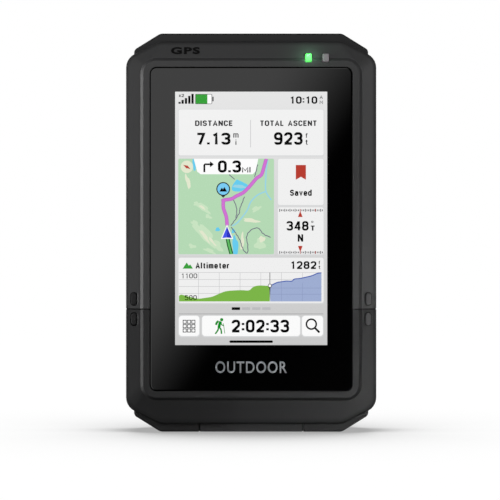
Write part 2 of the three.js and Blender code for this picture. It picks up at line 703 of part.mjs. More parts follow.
const antenna = { side: 16, thickness: 4, top: board.top - 0.5 };
antenna.bottom = antenna.top - antenna.side;
place(unit, "satellite_antenna", "ceramic",
  block([-antenna.side / 2, antenna.side / 2], [antenna.bottom, antenna.top], onBack(antenna.thickness)));
place(unit, "pressure_sensor", "chipEpoxy", block([-1.25, 1.25], [-1.25, 1.25], onBack(0.9)),
  [14.2, antenna.bottom + 5.8, 0]);

const beeper = { radius: 5, x: -12.2, y: collar.top + 9.6, thickness: 1.6 };
place(unit, "beeper", "chipEpoxy", post(beeper.radius, ...onBack(beeper.thickness)),
  [beeper.x, beeper.y, 0]);
place(unit, "battery_connector", "membrane", block([-3, 3], [-2, 2], onBack(1.6)), [13, beeper.y, 0]);

// ---------------------------------------------------------------- battery

const battery = {
  width: 2 * (board.halfWidth - 0.5),
  bottom: boardScrew.heights[0] + 3,
  top: antenna.bottom - 1.5,
  corner: 2.5,
};
const padThickness = 0.8;
const batteryFrontZ = boardBackZ - 2.3;
const padFrontZ = cavityBackZ + touchGap + padThickness;
place(unit, "battery_pad", "foam",
  prism(rectangle(battery, 4, cornerSteps), cavityBackZ + touchGap, padFrontZ));
place(unit, "battery_pack", "batteryWrap",
  prism(rectangle(battery, 0, cornerSteps), padFrontZ + touchGap, batteryFrontZ));

// ---------------------------------------------------------------- charging receptacle

// Drawn looking up into the mouth, then stood up so that its depth runs up the unit.
function standing(points, low, high) {
  return prism(points, low, high).rotateX(-Math.PI / 2);
}

const portWall = 0.3;
const portMouth = oblong(port.width - 2 * portWall, port.thickness - 2 * portWall);
place(unit, "usb_shell", "steel", cut(
  standing(oblong(port.width, port.thickness), 0, port.length),
  standing(portMouth, -1, port.length - 0.8),
), [0, port.mouth, port.z]);
place(unit, "usb_tongue", "chipEpoxy",
  standing(oblong(6.6, 0.7, 4), 0.8, port.length - 0.9), [0, port.mouth, port.z]);

// ---------------------------------------------------------------- weather cap and its pin

function weatherCap() {
  const half = cap.width / 2;
  const plate = block([-half, half], [-cap.knuckleRadius, cap.thickness - cap.knuckleRadius],
    [0, cap.frontZ - cap.axisZ]);
  return cut(
    join(plate, rod(cap.knuckleRadius, -half, half, 0, 0)),
    rod(cap.pinBore, -half - 1, half + 1, 0, 0),
  );
}

place(unit, "usb_cap", "bezelRubber", weatherCap(), [0, cap.axisHeight, cap.axisZ]);
place(unit, "usb_cap_seal", "softRubber",
  standing(oblong(cap.sealWidth, cap.sealThickness), 0, 1.15),
  [0, cap.floorGap + cap.thickness + touchGap, port.z]);
const pinHalf = cap.seatWidth / 2 + 1.2;
place(unit, "cap_hinge_pin", "steel", rod(cap.pinRadius, -pinHalf, pinHalf, 0, 0),
  [0, cap.axisHeight, cap.axisZ]);

// ---------------------------------------------------------------- side keys

// Drawn with z as the distance out from the unit's middle plane.
function keyCap() {
  const face = key.flangeFace;
  const outer = wallOuter + key.proud;
  const body = join(
    loft([
      { z: face - 0.2, points: oblong(key.width, key.length) },
      { z: outer - 0.4, points: oblong(key.width, key.length) },
      { z: outer, points: oblong(key.width - 0.8, key.length - 0.8) },
    ]),
    prism(oblong(key.width + 2 * key.flangeLap, key.length + 2), face - key.flangeThickness, face),
    block([-1.7, 1.7], [-2, 2], [key.postEnd, face - key.flangeThickness + 0.2]),
  );
  const low = key.sealMiddle - key.sealWidth / 2 - 0.1;
  const high = key.sealMiddle + key.sealWidth / 2 + 0.1;
  const groove = cut(
    prism(oblong(key.width + 1, key.length + 1), low, high),
    prism(oblong(key.width - 2 * key.sealDepth, key.length - 2 * key.sealDepth), low - 1, high + 1),
  );
  return cut(body, groove);
}

function keySeal() {
  const low = key.sealMiddle - key.sealWidth / 2;
  const high = key.sealMiddle + key.sealWidth / 2;
  const inner = 2 * (0.1 - key.sealDepth);
  return cut(
    prism(oblong(key.width + 0.3, key.length + 0.3), low, high),
    prism(oblong(key.width + inner, key.length + inner), low - 1, high + 1),
  );
}

for (const [name, side] of [["power", 1], ["user", -1]]) {
  const group = new THREE.Group();
  group.position.set(0, key.height, key.z);
  group.rotation.y = (side * Math.PI) / 2;
  place(group, `${name}_button`, "keyRubber", keyCap());
  place(group, `${name}_button_seal`, "softRubber", keySeal());
  unit.add(group);

  const switchEnd = key.postEnd - key.travel - 0.05;
  const [low, high] = onBack(1.7);
  const body = block([board.earReach - 3.8, board.earReach - 0.2], [-2.5, 2.5], [low, high]);
  const plunger = block([board.earReach - 0.5, switchEnd], [-0.9, 0.9], [low + 0.4, high - 0.3]);
  const whole = join(body, plunger);
  const turned = side > 0 ? whole : whole.rotateZ(Math.PI);
  place(unit, `${name}_switch`, "chipEpoxy", turned, [0, key.height, 0]);
}

// Turned upright: height becomes Z, and the screen looks along -Y.
unit.rotation.x = Math.PI / 2;

export default unit;
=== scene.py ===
"""Handheld GPS unit with a tall lit screen: its outer shells, glass, screen picture, keys and fittings.

Everything is modelled in millimetres on a bench frame (x to the right, y up the case, z out of the
screen) and is then put in its place around the case's solids.
"""

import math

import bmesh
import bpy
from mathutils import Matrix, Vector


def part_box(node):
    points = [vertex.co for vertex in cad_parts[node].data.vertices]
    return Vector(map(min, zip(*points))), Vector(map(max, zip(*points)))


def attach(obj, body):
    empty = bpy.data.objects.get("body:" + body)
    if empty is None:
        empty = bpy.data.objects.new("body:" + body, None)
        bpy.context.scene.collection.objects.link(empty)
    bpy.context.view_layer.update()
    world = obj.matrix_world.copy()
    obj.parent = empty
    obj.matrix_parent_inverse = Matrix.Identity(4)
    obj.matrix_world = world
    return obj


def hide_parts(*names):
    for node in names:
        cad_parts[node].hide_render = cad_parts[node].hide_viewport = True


bl_info = {
    "name": "Handheld GPS Unit",
    "version": (1, 0, 0),
    "blender": (4, 5, 0),
    "location": "View3D > Sidebar > GPS Unit",
    "description": "Shells, glass, screen picture, keys and fittings of a handheld GPS unit",
    "category": "Add Mesh",
}

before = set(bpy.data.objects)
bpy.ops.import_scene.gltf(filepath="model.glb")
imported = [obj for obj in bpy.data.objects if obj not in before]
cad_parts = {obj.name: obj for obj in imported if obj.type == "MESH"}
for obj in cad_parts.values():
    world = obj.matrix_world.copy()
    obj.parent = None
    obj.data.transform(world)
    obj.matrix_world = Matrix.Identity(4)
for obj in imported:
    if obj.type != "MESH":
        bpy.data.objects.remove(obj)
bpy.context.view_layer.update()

MM = 0.001
FACE = Matrix(((MM, 0, 0, 0), (0, 0, -MM, 0), (0, MM, 0, 0), (0, 0, 0, 1)))
SMOOTH_ANGLE = math.radians(32)


class Box:
    """A case solid's box in the bench frame, in millimetres."""

    def __init__(self, *nodes):
        corners = [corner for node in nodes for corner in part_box(node)]
        self.left = min(c.x for c in corners) / MM
        self.right = max(c.x for c in corners) / MM
        self.bottom = min(c.z for c in corners) / MM
        self.top = max(c.z for c in corners) / MM
        self.back = min(-c.y for c in corners) / MM
        self.front = max(-c.y for c in corners) / MM
        self.width = self.right - self.left
        self.height = self.top - self.bottom
        self.x = (self.left + self.right) / 2
        self.y = (self.bottom + self.top) / 2
        self.z = (self.back + self.front) / 2


HOUSING = Box("rear_housing")
BEZEL = Box("bezel_upper", "bezel_lower")
GLASS = Box("cover_glass")
PANEL = Box("display_panel")
LEFT_PLUG = Box("seam_plug_upper_left")
KEY = Box("power_button")
KEY_SEAL = Box("power_button_seal")
GRIP = Box("grip_pad_right")
RAIL = Box("mount_rail")
CAP = Box("usb_cap")
STATUS_PIPE = Box("status_light_pipe")
SENSOR_PIPE = Box("light_sensor_pipe")
LANYARD = Box("lanyard_bar")
CASE_SCREW = Box("case_screw_lower_right")
RAIL_SCREW = Box("rail_screw_lower")

SEAM_HEIGHT = (Box("bezel_upper").bottom + Box("bezel_lower").top) / 2
RIM_Z = HOUSING.front
SLOPE_EDGE_Z = BEZEL.front - 2
SLOPE_FOOT_Z = BEZEL.front - 1.05
DISPLAY = {"width": 39.2, "bottom": 22.5, "top": 87.8}


# ---------------------------------------------------------------- settings


def colour(name, description, default):
    return bpy.props.FloatVectorProperty(
        name=name, description=description, default=default, subtype="COLOR", size=3, min=0, max=1
    )


def size(name, description, default):
    return bpy.props.FloatProperty(
        name=name, description=description, default=default, min=0, subtype="NONE"
    )


class GpsShapeSettings(bpy.types.PropertyGroup):
    ring_land: size("Ring reach", "From the glass to the raised ring's outer edge, in mm", 1.8)
    ring_wall: size("Ring wall reach", "From the ring's edge to the foot of its outer wall, in mm", 1.0)
    edge_roll: size("Edge roll", "Height of the rounding between the bezel's side and its slope, in mm", 0.8)
    seam_gap: size("Seam gap", "Gap between the two bezels, in mm", 0.3)
    wall: size("Side wall", "Thickness of the housing's side walls, in mm", 2.2)
    floor: size("Bottom wall", "Thickness of the housing's lower wall, in mm", 3.2)


class GpsFinishSettings(bpy.types.PropertyGroup):
    bezel: colour("Bezel", "Moulded plastic of the upper bezel", (0.040, 0.040, 0.041))
    rubber: colour("Lower bezel", "Soft moulding of the lower bezel", (0.021, 0.021, 0.0217))
    housing: colour("Housing", "Moulded plastic of the rear housing", (0.0145, 0.0145, 0.015))
    keys: colour("Keys", "Rubber of the side keys and the port cap", (0.020, 0.020, 0.021))
    status: colour("Status light", "Colour that the status light glows in", (0.14, 0.91, 0.17))


class GpsStageSettings(bpy.types.PropertyGroup):
    camera_distance: bpy.props.FloatProperty(
        name="Camera distance", description="From the camera to the ring", default=0.7, unit="LENGTH"
    )
    view_width: bpy.props.FloatProperty(
        name="View width", description="Width seen at the ring", default=0.1284, unit="LENGTH"
    )
    camera_height: bpy.props.FloatProperty(
        name="Camera height", description="Height of the level camera", default=0.047, unit="LENGTH"
    )


# ---------------------------------------------------------------- shader building


class Value:
    """A shader socket that Python arithmetic can be done on. Each step adds one Math node."""

    def __init__(self, shader, socket):
        self.shader = shader
        self.socket = socket

    def _math(self, operation, *values):
        return self.shader.node(
            "ShaderNodeMath", {"operation": operation}, dict(enumerate(values))
        ).out("Value")

    def __add__(self, other):
        return self._math("ADD", self, other)

    def __mul__(self, other):
        return self._math("MULTIPLY", self, other)

    def __sub__(self, other):
        return self._math("SUBTRACT", self, other)

    def __rsub__(self, other):
        return self._math("SUBTRACT", other, self)

    def __pow__(self, other):
        return self._math("POWER", self, other)

    __radd__ = __add__
    __rmul__ = __mul__

    def above(self, edge, softness):
        """0 below edge and 1 above it, over a width of softness."""
        ramp = (self - (edge - softness / 2)) * (1 / softness)
        return self._math("MINIMUM", self._math("MAXIMUM", ramp, 0), 1)

    def absolute(self):
        return self._math("ABSOLUTE", self)

    def fraction(self):
        return self._math("FRACT", self)

    def smooth(self):
        return self * self * (3 - 2 * self)


class Made:
    """A node that was added, with its outputs by name."""

    def __init__(self, shader, node):
        self.shader = shader
        self.node = node

    def out(self, name):
        return Value(self.shader, self.node.outputs[name])


class Shader:
    """The node tree of a new material, or of the world."""

    def __init__(self, owner):
        self.owner = owner
        owner.use_nodes = True
        self.tree = owner.node_tree
        self.tree.nodes.clear()

    def node(self, kind, settings=None, inputs=None):
        made = self.tree.nodes.new(kind)
        for name, value in (settings or {}).items():
            setattr(made, name, value)
        for name, value in (inputs or {}).items():
            if isinstance(value, Value):
                self.tree.links.new(value.socket, made.inputs[name])
            else:
                made.inputs[name].default_value = value
        return Made(self, made)

    def place(self):
        """Object coordinates: x, y and z of the piece, in metres."""
        return self.node("ShaderNodeTexCoord").out("Object")

    def axes(self):
        split = self.node("ShaderNodeSeparateXYZ", {}, {"Vector": self.place()})
        return split.out("X"), split.out("Y"), split.out("Z")

    def noise(self, scale, detail=3.0, roughness=0.5, vector=None):
        inputs = {"Scale": scale, "Detail": detail, "Roughness": roughness}
        inputs["Vector"] = vector if vector is not None else self.place()
        return self.node("ShaderNodeTexNoise", {}, inputs).out("Fac")

    def blend(self, share, first, second):
        settings = {"data_type": "RGBA"}
        inputs = {0: share, 6: first, 7: second}
        made = self.node("ShaderNodeMix", settings, inputs)
        return Value(self, made.node.outputs[2])

    def bump(self, height, strength, distance):
        inputs = {"Height": height, "Strength": strength, "Distance": distance}
        return self.node("ShaderNodeBump", {}, inputs).out("Normal")

    def surface(self, shader_node, output="BSDF"):
        end = self.node("ShaderNodeOutputMaterial")
        self.tree.links.new(shader_node.node.outputs[output], end.node.inputs["Surface"])
        return self.owner

    def principled(self, **inputs):
        named = {name.replace("_", " "): value for name, value in inputs.items()}
        return self.surface(self.node("ShaderNodeBsdfPrincipled", {}, named))


def new_shader(name):
    return Shader(bpy.data.materials.new(name))


def rgba(linear):
    return (linear[0], linear[1], linear[2], 1.0)


def screen_rgb(red, green, blue):
    """Linear colour of a screen colour given as 0 to 255."""
    return tuple(((c / 255 + 0.055) / 1.055) ** 2.4 if c > 10 else c / 3294.6 for c in (red, green, blue))


def shade(base, factor):
    return rgba([min(c * factor, 1) for c in base])


# ---------------------------------------------------------------- finishes

GRAIN = 2600.0  # grains of the moulds' texture, per metre
SIDE_SHADE_FADE = 0.00035  # metres over which the painted shade on the bezels' sides fades in
SIDE_SHADE_TONE = 0.22  # share of the plastic's tone that the sides keep under their painted shade


def moulded(name, base, roughness=0.5, grain=GRAIN, relief=0.18, specular=0.5, painted_shade_behind=None):
    """Moulded plastic with a fine eroded grain, faint colour drift and slightly uneven gloss.

    The last argument gives the bench z behind which the sides get painted shade: their tone drops and they
    turn matt.
    """
    s = new_shader(name)
    fine = s.noise(grain, 4.0, 0.6)
    broad = s.noise(45.0, 2.0)
    tint = s.blend(fine * 0.5 + broad * 0.5, shade(base, 0.86), shade(base, 1.14))
    gloss = roughness - 0.05 + 0.06 * fine + 0.05 * broad
    # Painted shade: behind that z the sides are darkened and made matt.
    if painted_shade_behind is not None:
        _, y, _ = s.axes()
        sides = (y + painted_shade_behind * MM).above(0.0, SIDE_SHADE_FADE)
        tint = s.blend(sides, tint, shade(base, SIDE_SHADE_TONE))
        gloss = gloss + sides * 0.3
    normal = s.bump(fine, relief, 0.00006)
    return s.principled(Base_Color=tint, Roughness=gloss, Specular_IOR_Level=specular, Normal=normal)


def rubber(name, base, roughness=0.66):
    """Soft moulding: matt, with a fine grain and a dust mottle."""
    s = new_shader(name)
    fine = s.noise(3800.0, 3.0, 0.7)
    dust = s.noise(160.0, 5.0, 0.6)
    tint = s.blend(dust, shade(base, 0.82), shade(base, 1.2))
    normal = s.bump(fine, 0.22, 0.00005)
    return s.principled(
        Base_Color=tint, Roughness=roughness + 0.12 * (dust - 0.5), Specular_IOR_Level=0.4, Normal=normal
    )


def metal(name, base, roughness=0.3, lines=(60.0, 60.0, 2400.0)):
    """Drawn or rolled metal with fine lines along the work."""
    s = new_shader(name)
    stretched = s.node("ShaderNodeMapping", {}, {"Vector": s.place(), "Scale": lines}).out("Vector")
    drawn = s.noise(1.0, 3.0, 0.6, stretched)
    smudge = s.noise(220.0, 3.0)
    tint = s.blend(drawn, shade(base, 0.85), shade(base, 1.1))
    gloss = roughness + 0.14 * (drawn - 0.5) + 0.1 * (smudge - 0.5)
    normal = s.bump(drawn, 0.12, 0.00003)
    return s.principled(Base_Color=tint, Metallic=1.0, Roughness=gloss, Normal=normal)


def board_finish():
    """Green lacquered circuit board with paler copper tracks under the lacquer."""
    s = new_shader("board_resist")
    x, _, z = s.axes()
    wander = s.noise(90.0, 1.0)
    lanes = ((x + wander * 0.004) * 700).fraction().above(0.62, 0.1)
    rungs = ((z + wander * 0.003) * 520).fraction().above(0.7, 0.1)
    pick = s.noise(160.0, 0.0).above(0.5, 0.05)
    track = lanes * pick + rungs * (1 - pick)
    tint = s.blend(track, (0.004, 0.06, 0.025, 1), (0.012, 0.13, 0.05, 1))
    normal = s.bump(track, 0.3, 0.00004)
    return s.principled(Base_Color=tint, Roughness=0.28 + 0.1 * wander, Normal=normal)


def ceramic_finish():
    """Pale ceramic aerial block with a silvered patch on its face."""
    s = new_shader("antenna_ceramic")
    speck = s.noise(2200.0, 3.0, 0.7)
    silver = s.noise(700.0, 2.0).above(0.52, 0.04)
    tint = s.blend(silver, (0.62, 0.58, 0.5, 1), (0.72, 0.71, 0.69, 1))
    return s.principled(Base_Color=tint, Metallic=silver * 0.9, Roughness=0.5 - 0.2 * silver + 0.1 * speck)


def wrap_finish():
    """Shrink film around the battery: smooth, with a pale band and faint wrinkles."""
    s = new_shader("battery_wrap")
    _, _, z = s.axes()
    band = (z - 0.034).above(0.0, 0.0004) * (0.040 - z).above(0.0, 0.0004)
    wrinkle = s.noise(420.0, 4.0, 0.6)
    tint = s.blend(band, (0.012, 0.03, 0.09, 1), (0.55, 0.56, 0.58, 1))
    return s.principled(Base_Color=tint, Roughness=0.3 + 0.15 * wrinkle, Normal=s.bump(wrinkle, 0.2, 0.0001))


def flex_finish():
    """Amber film cable with copper lines along it."""
    s = new_shader("flex_circuit")
    x, _, _ = s.axes()
    copper = (x * 1600).fraction().above(0.5, 0.12)
    tint = s.blend(copper, (0.25, 0.09, 0.015, 1), (0.5, 0.24, 0.07, 1))
    gloss = 0.32 + 0.1 * s.noise(300.0)
    return s.principled(Base_Color=tint, Roughness=gloss, Normal=s.bump(copper, 0.2, 0.00003))


def chip_finish():
    """Moulded epoxy of the chips: dark, with a faint mottle."""
    return moulded("chip_epoxy", (0.012, 0.012, 0.013), 0.42, 5200.0, 0.15)


def foam_finish():
    """Open foam: matt and pitted."""
    s = new_shader("foam")
    cells = s.node("ShaderNodeTexVoronoi", {}, {"Vector": s.place(), "Scale": 3200.0}).out("Distance")
    tint = s.blend(cells, (0.01, 0.01, 0.01, 1), (0.04, 0.04, 0.04, 1))
    return s.principled(Base_Color=tint, Roughness=0.85 + 0.1 * cells, Normal=s.bump(cells, 0.5, 0.0001))


def panel_finish():
    """Dark glass of the display panel, with a fine stripe of its cells."""
    s = new_shader("display_panel")
    x, _, z = s.axes()
    cells = (x * 5200).fraction().above(0.5, 0.3) * (z * 5200).fraction().above(0.25, 0.3)
    tint = s.blend(cells, (0.006, 0.006, 0.008, 1), (0.02, 0.021, 0.026, 1))
    return s.principled(Base_Color=tint, Roughness=0.12 + 0.05 * cells)


def lens_finish(name, body, glow, strength, at):
    """A small moulded window that glows, brightest in its middle: lamp light for the status light, painted
    light for the sensor window. at is the middle's x and y on the bench.
    """
    half_width, half_height = 0.00082, 0.00107
    s = new_shader(name)
    speck = s.noise(1800.0, 2.0)
    tint = s.blend(speck, shade(body, 0.9), shade(body, 1.1))
    x, _, z = s.axes()
    across = ((x - at[0] * MM) * (1 / half_width)).absolute()
    up = ((z - at[1] * MM) * (1 / half_height)).absolute()
    middle = 1 - 0.35 * (across ** 4) - 0.35 * (up ** 4)
    light = s.blend(middle, shade(glow, 0.35), rgba(glow))
    return s.principled(
        Base_Color=tint, Roughness=0.3 + 0.08 * speck, Emission_Color=light, Emission_Strength=strength
    )


def glass_finish():
    """Cover glass: clear over the lit area, black ink behind the rest, with a hair-thin soft edge."""
    s = new_shader("cover_glass")
    x, _, z = s.axes()
    soft = 0.00006
    sides = x.absolute().above(DISPLAY["width"] / 2 * MM, soft)
    low = 1 - z.above(DISPLAY["bottom"] * MM, soft)
    high = z.above(DISPLAY["top"] * MM, soft)
    ink = 1 - (1 - sides) * (1 - low) * (1 - high)
    alpha = 0.03 + 0.97 * ink
    smear = s.noise(70.0, 3.0)
    tint = s.blend(smear, (0.0006, 0.0006, 0.0007, 1), (0.0011, 0.0011, 0.0012, 1))
    return s.principled(Base_Color=tint, Roughness=0.035 + 0.02 * smear, Alpha=alpha, IOR=1.5)


def print_and_shade_finish(name, linear, specular=0.5):
    """Nearly flat, a little uneven: printed ink on the glass, and painted shade in the bezel's lettering."""
    s = new_shader(name)
    uneven = s.noise(1500.0, 3.0)
    tint = s.blend(uneven, shade(linear, 0.94), shade(linear, 1.06))
    return s.principled(Base_Color=tint, Roughness=0.5 + 0.1 * uneven, Specular_IOR_Level=specular)


def lit_finish(name, rgb, falloff=0.03):
    """A colour of the lit picture, a little dimmer towards the screen's lower edge."""
    s = new_shader(name)
    _, _, z = s.axes()
    low, high = DISPLAY["bottom"] * MM, DISPLAY["top"] * MM
    up = (z - low) * (1 / (high - low))
    base = screen_rgb(*rgb)
    light = s.blend(up, shade(base, 1 - falloff), rgba(base))
    return s.principled(
        Base_Color=(0.0, 0.0, 0.0, 1), Roughness=0.5, Specular_IOR_Level=0.0,
        Emission_Color=light, Emission_Strength=1.05,
    )


# ---------------------------------------------------------------- outlines

# How far a corner's cut runs across and up, and the rounds at the ends and the sides of the case.
CAVITY_CUT, CAVITY_ROUNDS = (7.7, 4.6), (2.0, 1.2)
BEZEL_CUT, BEZEL_ROUNDS = (8.8, 4.3), (4.6, 3.9)
HOUSING_END_HALF = 23.5  # half the width of the housing's straight ends
HOUSING_CUT_RATIO = 0.62  # how far up its cuts run, for each mm across
HOUSING_ROUNDS = (2.2, 1.4)
CUT_CORNER_STEPS = 5


def rounded(corners, radii, steps):
    """Corner points, counterclockwise, rounded by arcs of the same number of steps."""
    corners = [Vector(corner) for corner in corners]
    points = []
    for i, corner in enumerate(corners):
        back = (corners[i - 1] - corner).normalized()
        on = (corners[(i + 1) % len(corners)] - corner).normalized()
        half = back.angle(on) / 2
        radius = radii[i % len(radii)]
        middle = corner + (back + on).normalized() * (radius / math.sin(half))
        spoke = corner + back * (radius / math.tan(half)) - middle
        for k in range(steps + 1):
            points.append(middle + Matrix.Rotation((math.pi - 2 * half) * k / steps, 2) @ spoke)
    return points


def rectangle(width, bottom, top, corner, inset=0.0, steps=11, x=0.0):
    half = width / 2 - inset
    low, high = bottom + inset, top - inset
    corners = [(x + half, low), (x + half, high), (x - half, high), (x - half, low)]
    return rounded(corners, [max(corner - inset, 0.12)], steps)


def octagon(width, bottom, top, cut, radii, inset):
    """Rectangle with its corners cut off. Its cuts stay parallel as it is taken in."""
    half = width / 2 - inset
    low, high = bottom + inset, top - inset
    length = math.hypot(*cut)
    depth = cut[0] * cut[1] / length
    scale = (depth - inset * (cut[0] + cut[1]) / length + inset) / depth
    x, y = cut[0] * scale, cut[1] * scale
    right = [(half - x, low), (half, low + y), (half, high - y), (half - x, high)]
    left = [(-across, up) for across, up in reversed(right)]
    end, side = radii
    rounds = [max(r - inset, 0.4) for r in (end, side, side, end)]
    return rounded(right + left, rounds, CUT_CORNER_STEPS)


def oblong(wide, high, steps=16, x=0.0, y=0.0):
    """Outline with round ends, upright when it is higher than it is wide."""
    radius = min(wide, high) / 2
    reach = abs(high - wide) / 2
    upright = high > wide
    middle = Vector((0, reach)) if upright else Vector((reach, 0))
    start = 0 if upright else -math.pi / 2
    points = []
    for side in (1, -1):
        for k in range(steps + 1):
            angle = start + (0 if side > 0 else math.pi) + math.pi * k / steps
            spoke = Vector((math.cos(angle), math.sin(angle))) * radius
            points.append(spoke + middle * side + Vector((x, y)))
    return points


def circle(radius, count=48, x=0.0, y=0.0):
    turn = 2 * math.pi / count
    return [Vector((x + radius * math.cos(i * turn), y + radius * math.sin(i * turn))) for i in range(count)]


def housing_outline(inset):
    across = HOUSING.width / 2 - HOUSING_END_HALF
    cut = (across, HOUSING_CUT_RATIO * across)
    return octagon(HOUSING.width, HOUSING.bottom, HOUSING.top, cut, HOUSING_ROUNDS, inset)


def cavity_outline(inset=0.0):
    shape = bpy.context.scene.gps_shape
    width = HOUSING.width - 2 * shape.wall
    return octagon(width, shape.floor, HOUSING.top - shape.wall, CAVITY_CUT, CAVITY_ROUNDS, inset)


def bezel_outline(inset):
    return octagon(BEZEL.width, BEZEL.bottom, BEZEL.top, BEZEL_CUT, BEZEL_ROUNDS, inset)


def glass_outline(inset):
    return rectangle(GLASS.width, GLASS.bottom, GLASS.top, 1.6, inset)


# ---------------------------------------------------------------- bench work


def deselect():
    if bpy.context.object and bpy.context.object.mode != "OBJECT":
        bpy.ops.object.mode_set(mode="OBJECT")
    bpy.ops.object.select_all(action="DESELECT")


def activate(obj):
    deselect()
    obj.select_set(True)
    bpy.context.view_layer.objects.active = obj
    return obj


def skin(rings, name="piece"):
    """A body drawn ring by ring, each (points, z), and closed over its first and last ring."""
    deselect()
    points, z = rings[0]
    bpy.ops.mesh.primitive_circle_add(vertices=len(points), radius=1, fill_type="NGON")
    obj = bpy.context.object
    obj.name = name
    for vertex, point in zip(obj.data.vertices, points):
        vertex.co = (point.x, point.y, z)
    bpy.ops.object.mode_set(mode="EDIT")
    bpy.ops.mesh.select_mode(type="VERT")
    bpy.ops.mesh.select_all(action="SELECT")
    bpy.ops.mesh.select_mode(type="FACE")
    last = [tuple(vertex.co) for vertex in bmesh.from_edit_mesh(obj.data).verts]
    for points, z in rings[1:]:
        bpy.ops.mesh.extrude_region()
        shape = bmesh.from_edit_mesh(obj.data)
        found = {tuple(vertex.co): vertex for vertex in shape.verts if vertex.select}
        fresh = [found[old] for old in last]
        for vertex, point in zip(fresh, points):
            vertex.co = (point.x, point.y, z)
        last = [tuple(vertex.co) for vertex in fresh]
        bmesh.update_edit_mesh(obj.data)
    bpy.ops.mesh.select_all(action="SELECT")
    bpy.ops.mesh.normals_make_consistent(inside=False)
    bpy.ops.object.mode_set(mode="OBJECT")
    return obj


def block(across, up, out):
    deselect()
    bpy.ops.mesh.primitive_cube_add(size=1)
    obj = bpy.context.object
    spans = (across, up, out)
    for vertex in obj.data.vertices:
        vertex.co = [span[0] if c < 0 else span[1] for c, span in zip(vertex.co, spans)]
    return obj


def rod(radius, length, middle, axis="X", count=32):
    """A round bar through middle, along one axis."""
    deselect()
    turn = {"X": (0, math.pi / 2, 0), "Z": (0, 0, 0)}[axis]
    bpy.ops.mesh.primitive_cylinder_add(
        vertices=count, radius=radius, depth=length, location=middle, rotation=turn
    )
    bpy.ops.object.transform_apply(location=True, rotation=True, scale=True)
    return bpy.context.object


def pocket(outline, floor, mouth, flare, out=1):
    """A cutter whose mouth widens by flare. outline(grow) gives its points, and out is 1 or -1 in z."""
    beyond = flare + 1.0
    rings = [(outline(0.0), floor), (outline(0.0), mouth - out * flare), (outline(flare), mouth)]
    rings.append((outline(beyond), mouth + out * (beyond - flare)))
    return skin(rings)


def joined(objects, name="piece"):
    deselect()
    for obj in objects:
        obj.select_set(True)
    bpy.context.view_layer.objects.active = objects[0]
    if len(objects) > 1:
        bpy.ops.object.join()
    result = bpy.context.object
    result.name = name
    return result


def carve(obj, *tools, operation="DIFFERENCE"):
    """Cuts the tools out of a body, or joins them to it, and removes them."""
    for tool in tools:
        step = obj.modifiers.new("shape", "BOOLEAN")
        step.operation = operation
        step.solver = "EXACT"
        step.object = tool
        activate(obj)
        bpy.ops.object.modifier_apply(modifier=step.name)
        bpy.data.objects.remove(tool)
    return obj


def cut_level(obj, height, keep_upper):
    """Keeps what lies above or below a height, closed along the cut."""
    activate(obj)
    bpy.ops.object.mode_set(mode="EDIT")
    bpy.ops.mesh.select_all(action="SELECT")
    bpy.ops.mesh.bisect(
        plane_co=(0, height, 0),
        plane_no=(0, 1, 0),
        use_fill=True,
        clear_inner=keep_upper,
        clear_outer=not keep_upper,
    )
    bpy.ops.object.mode_set(mode="OBJECT")
    return obj


def split(obj, height, gap):
    """The body's upper and lower parts, with a gap between them."""
    upper = cut_level(clone(obj, (0, 0, 0)), height + gap / 2, True)
    lower = cut_level(obj, height - gap / 2, False)
    return upper, lower


def soften(obj, width, segments):
    """Small round along the sharp edges."""
    bevel = obj.modifiers.new("edge", "BEVEL")
    bevel.width = width
    bevel.segments = segments
    bevel.limit_method = "ANGLE"
    bevel.angle_limit = math.radians(40)
    activate(obj)
    bpy.ops.object.modifier_apply(modifier=bevel.name)
    return obj


def bench_copy(node):
    """A merged copy of a case solid on the bench."""
    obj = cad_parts[node].copy()
    obj.data = obj.data.copy()
    for key in [key for key in obj.keys() if key.startswith("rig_")]:
        del obj[key]
    obj.parent = None
    bpy.context.scene.collection.objects.link(obj)
    obj.data.transform(FACE.inverted())
    activate(obj)
    bpy.ops.object.mode_set(mode="EDIT")
    bpy.ops.mesh.select_all(action="SELECT")
    bpy.ops.mesh.remove_doubles(threshold=0.002)
    bpy.ops.mesh.customdata_custom_splitnormals_clear()
    bpy.ops.mesh.select_all(action="SELECT")
    bpy.ops.mesh.dissolve_limited(angle_limit=math.radians(1.0))
    bpy.ops.object.mode_set(mode="OBJECT")
    obj.data.materials.clear()
    return obj


def clone(obj, shift):
    twin = obj.copy()
    twin.data = obj.data.copy()
    twin.data.transform(Matrix.Translation(shift))
    bpy.context.scene.collection.objects.link(twin)
    return twin


def finish(obj, name, material, body="case", nodes=(), place=FACE):
    """Puts a bench piece in its place in metres and ties it to its body."""
    activate(obj)
    bpy.ops.object.transform_apply(location=True, rotation=True, scale=True)
    obj.data.transform(place)
    bpy.ops.object.mode_set(mode="EDIT")
    bpy.ops.mesh.select_all(action="SELECT")
    bpy.ops.mesh.normals_make_consistent(inside=False)
    bpy.ops.object.mode_set(mode="OBJECT")
    if not obj.data.materials:
        obj.data.materials.append(material)
    bpy.ops.object.shade_smooth_by_angle(angle=SMOOTH_ANGLE)
    even = obj.modifiers.new("normals", "WEIGHTED_NORMAL")
    even.keep_sharp = True
    bpy.ops.object.modifier_apply(modifier=even.name)
    obj.name = name
    obj.data.name = name
    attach(obj, body)
    if nodes:
        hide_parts(*nodes)
    return obj


def ease(start, end, steps):
    """(inset, z) pairs along a quarter of an ellipse, upright at start and level at end."""
    pairs = []
    for k in range(steps + 1):
        turn = math.pi / 2 * k / steps
        across = start[0] + (end[0] - start[0]) * (1 - math.cos(turn))
        out = start[1] + (end[1] - start[1]) * math.sin(turn)
        pairs.append((across, out))
    return pairs


class GpsOperator:
    """What all the piece operators share."""

    bl_options = {"REGISTER", "UNDO"}

    def execute(self, context):
        self.make(context.scene.gps_shape, context.scene.gps_finish)
        return {"FINISHED"}


# ---------------------------------------------------------------- rear housing

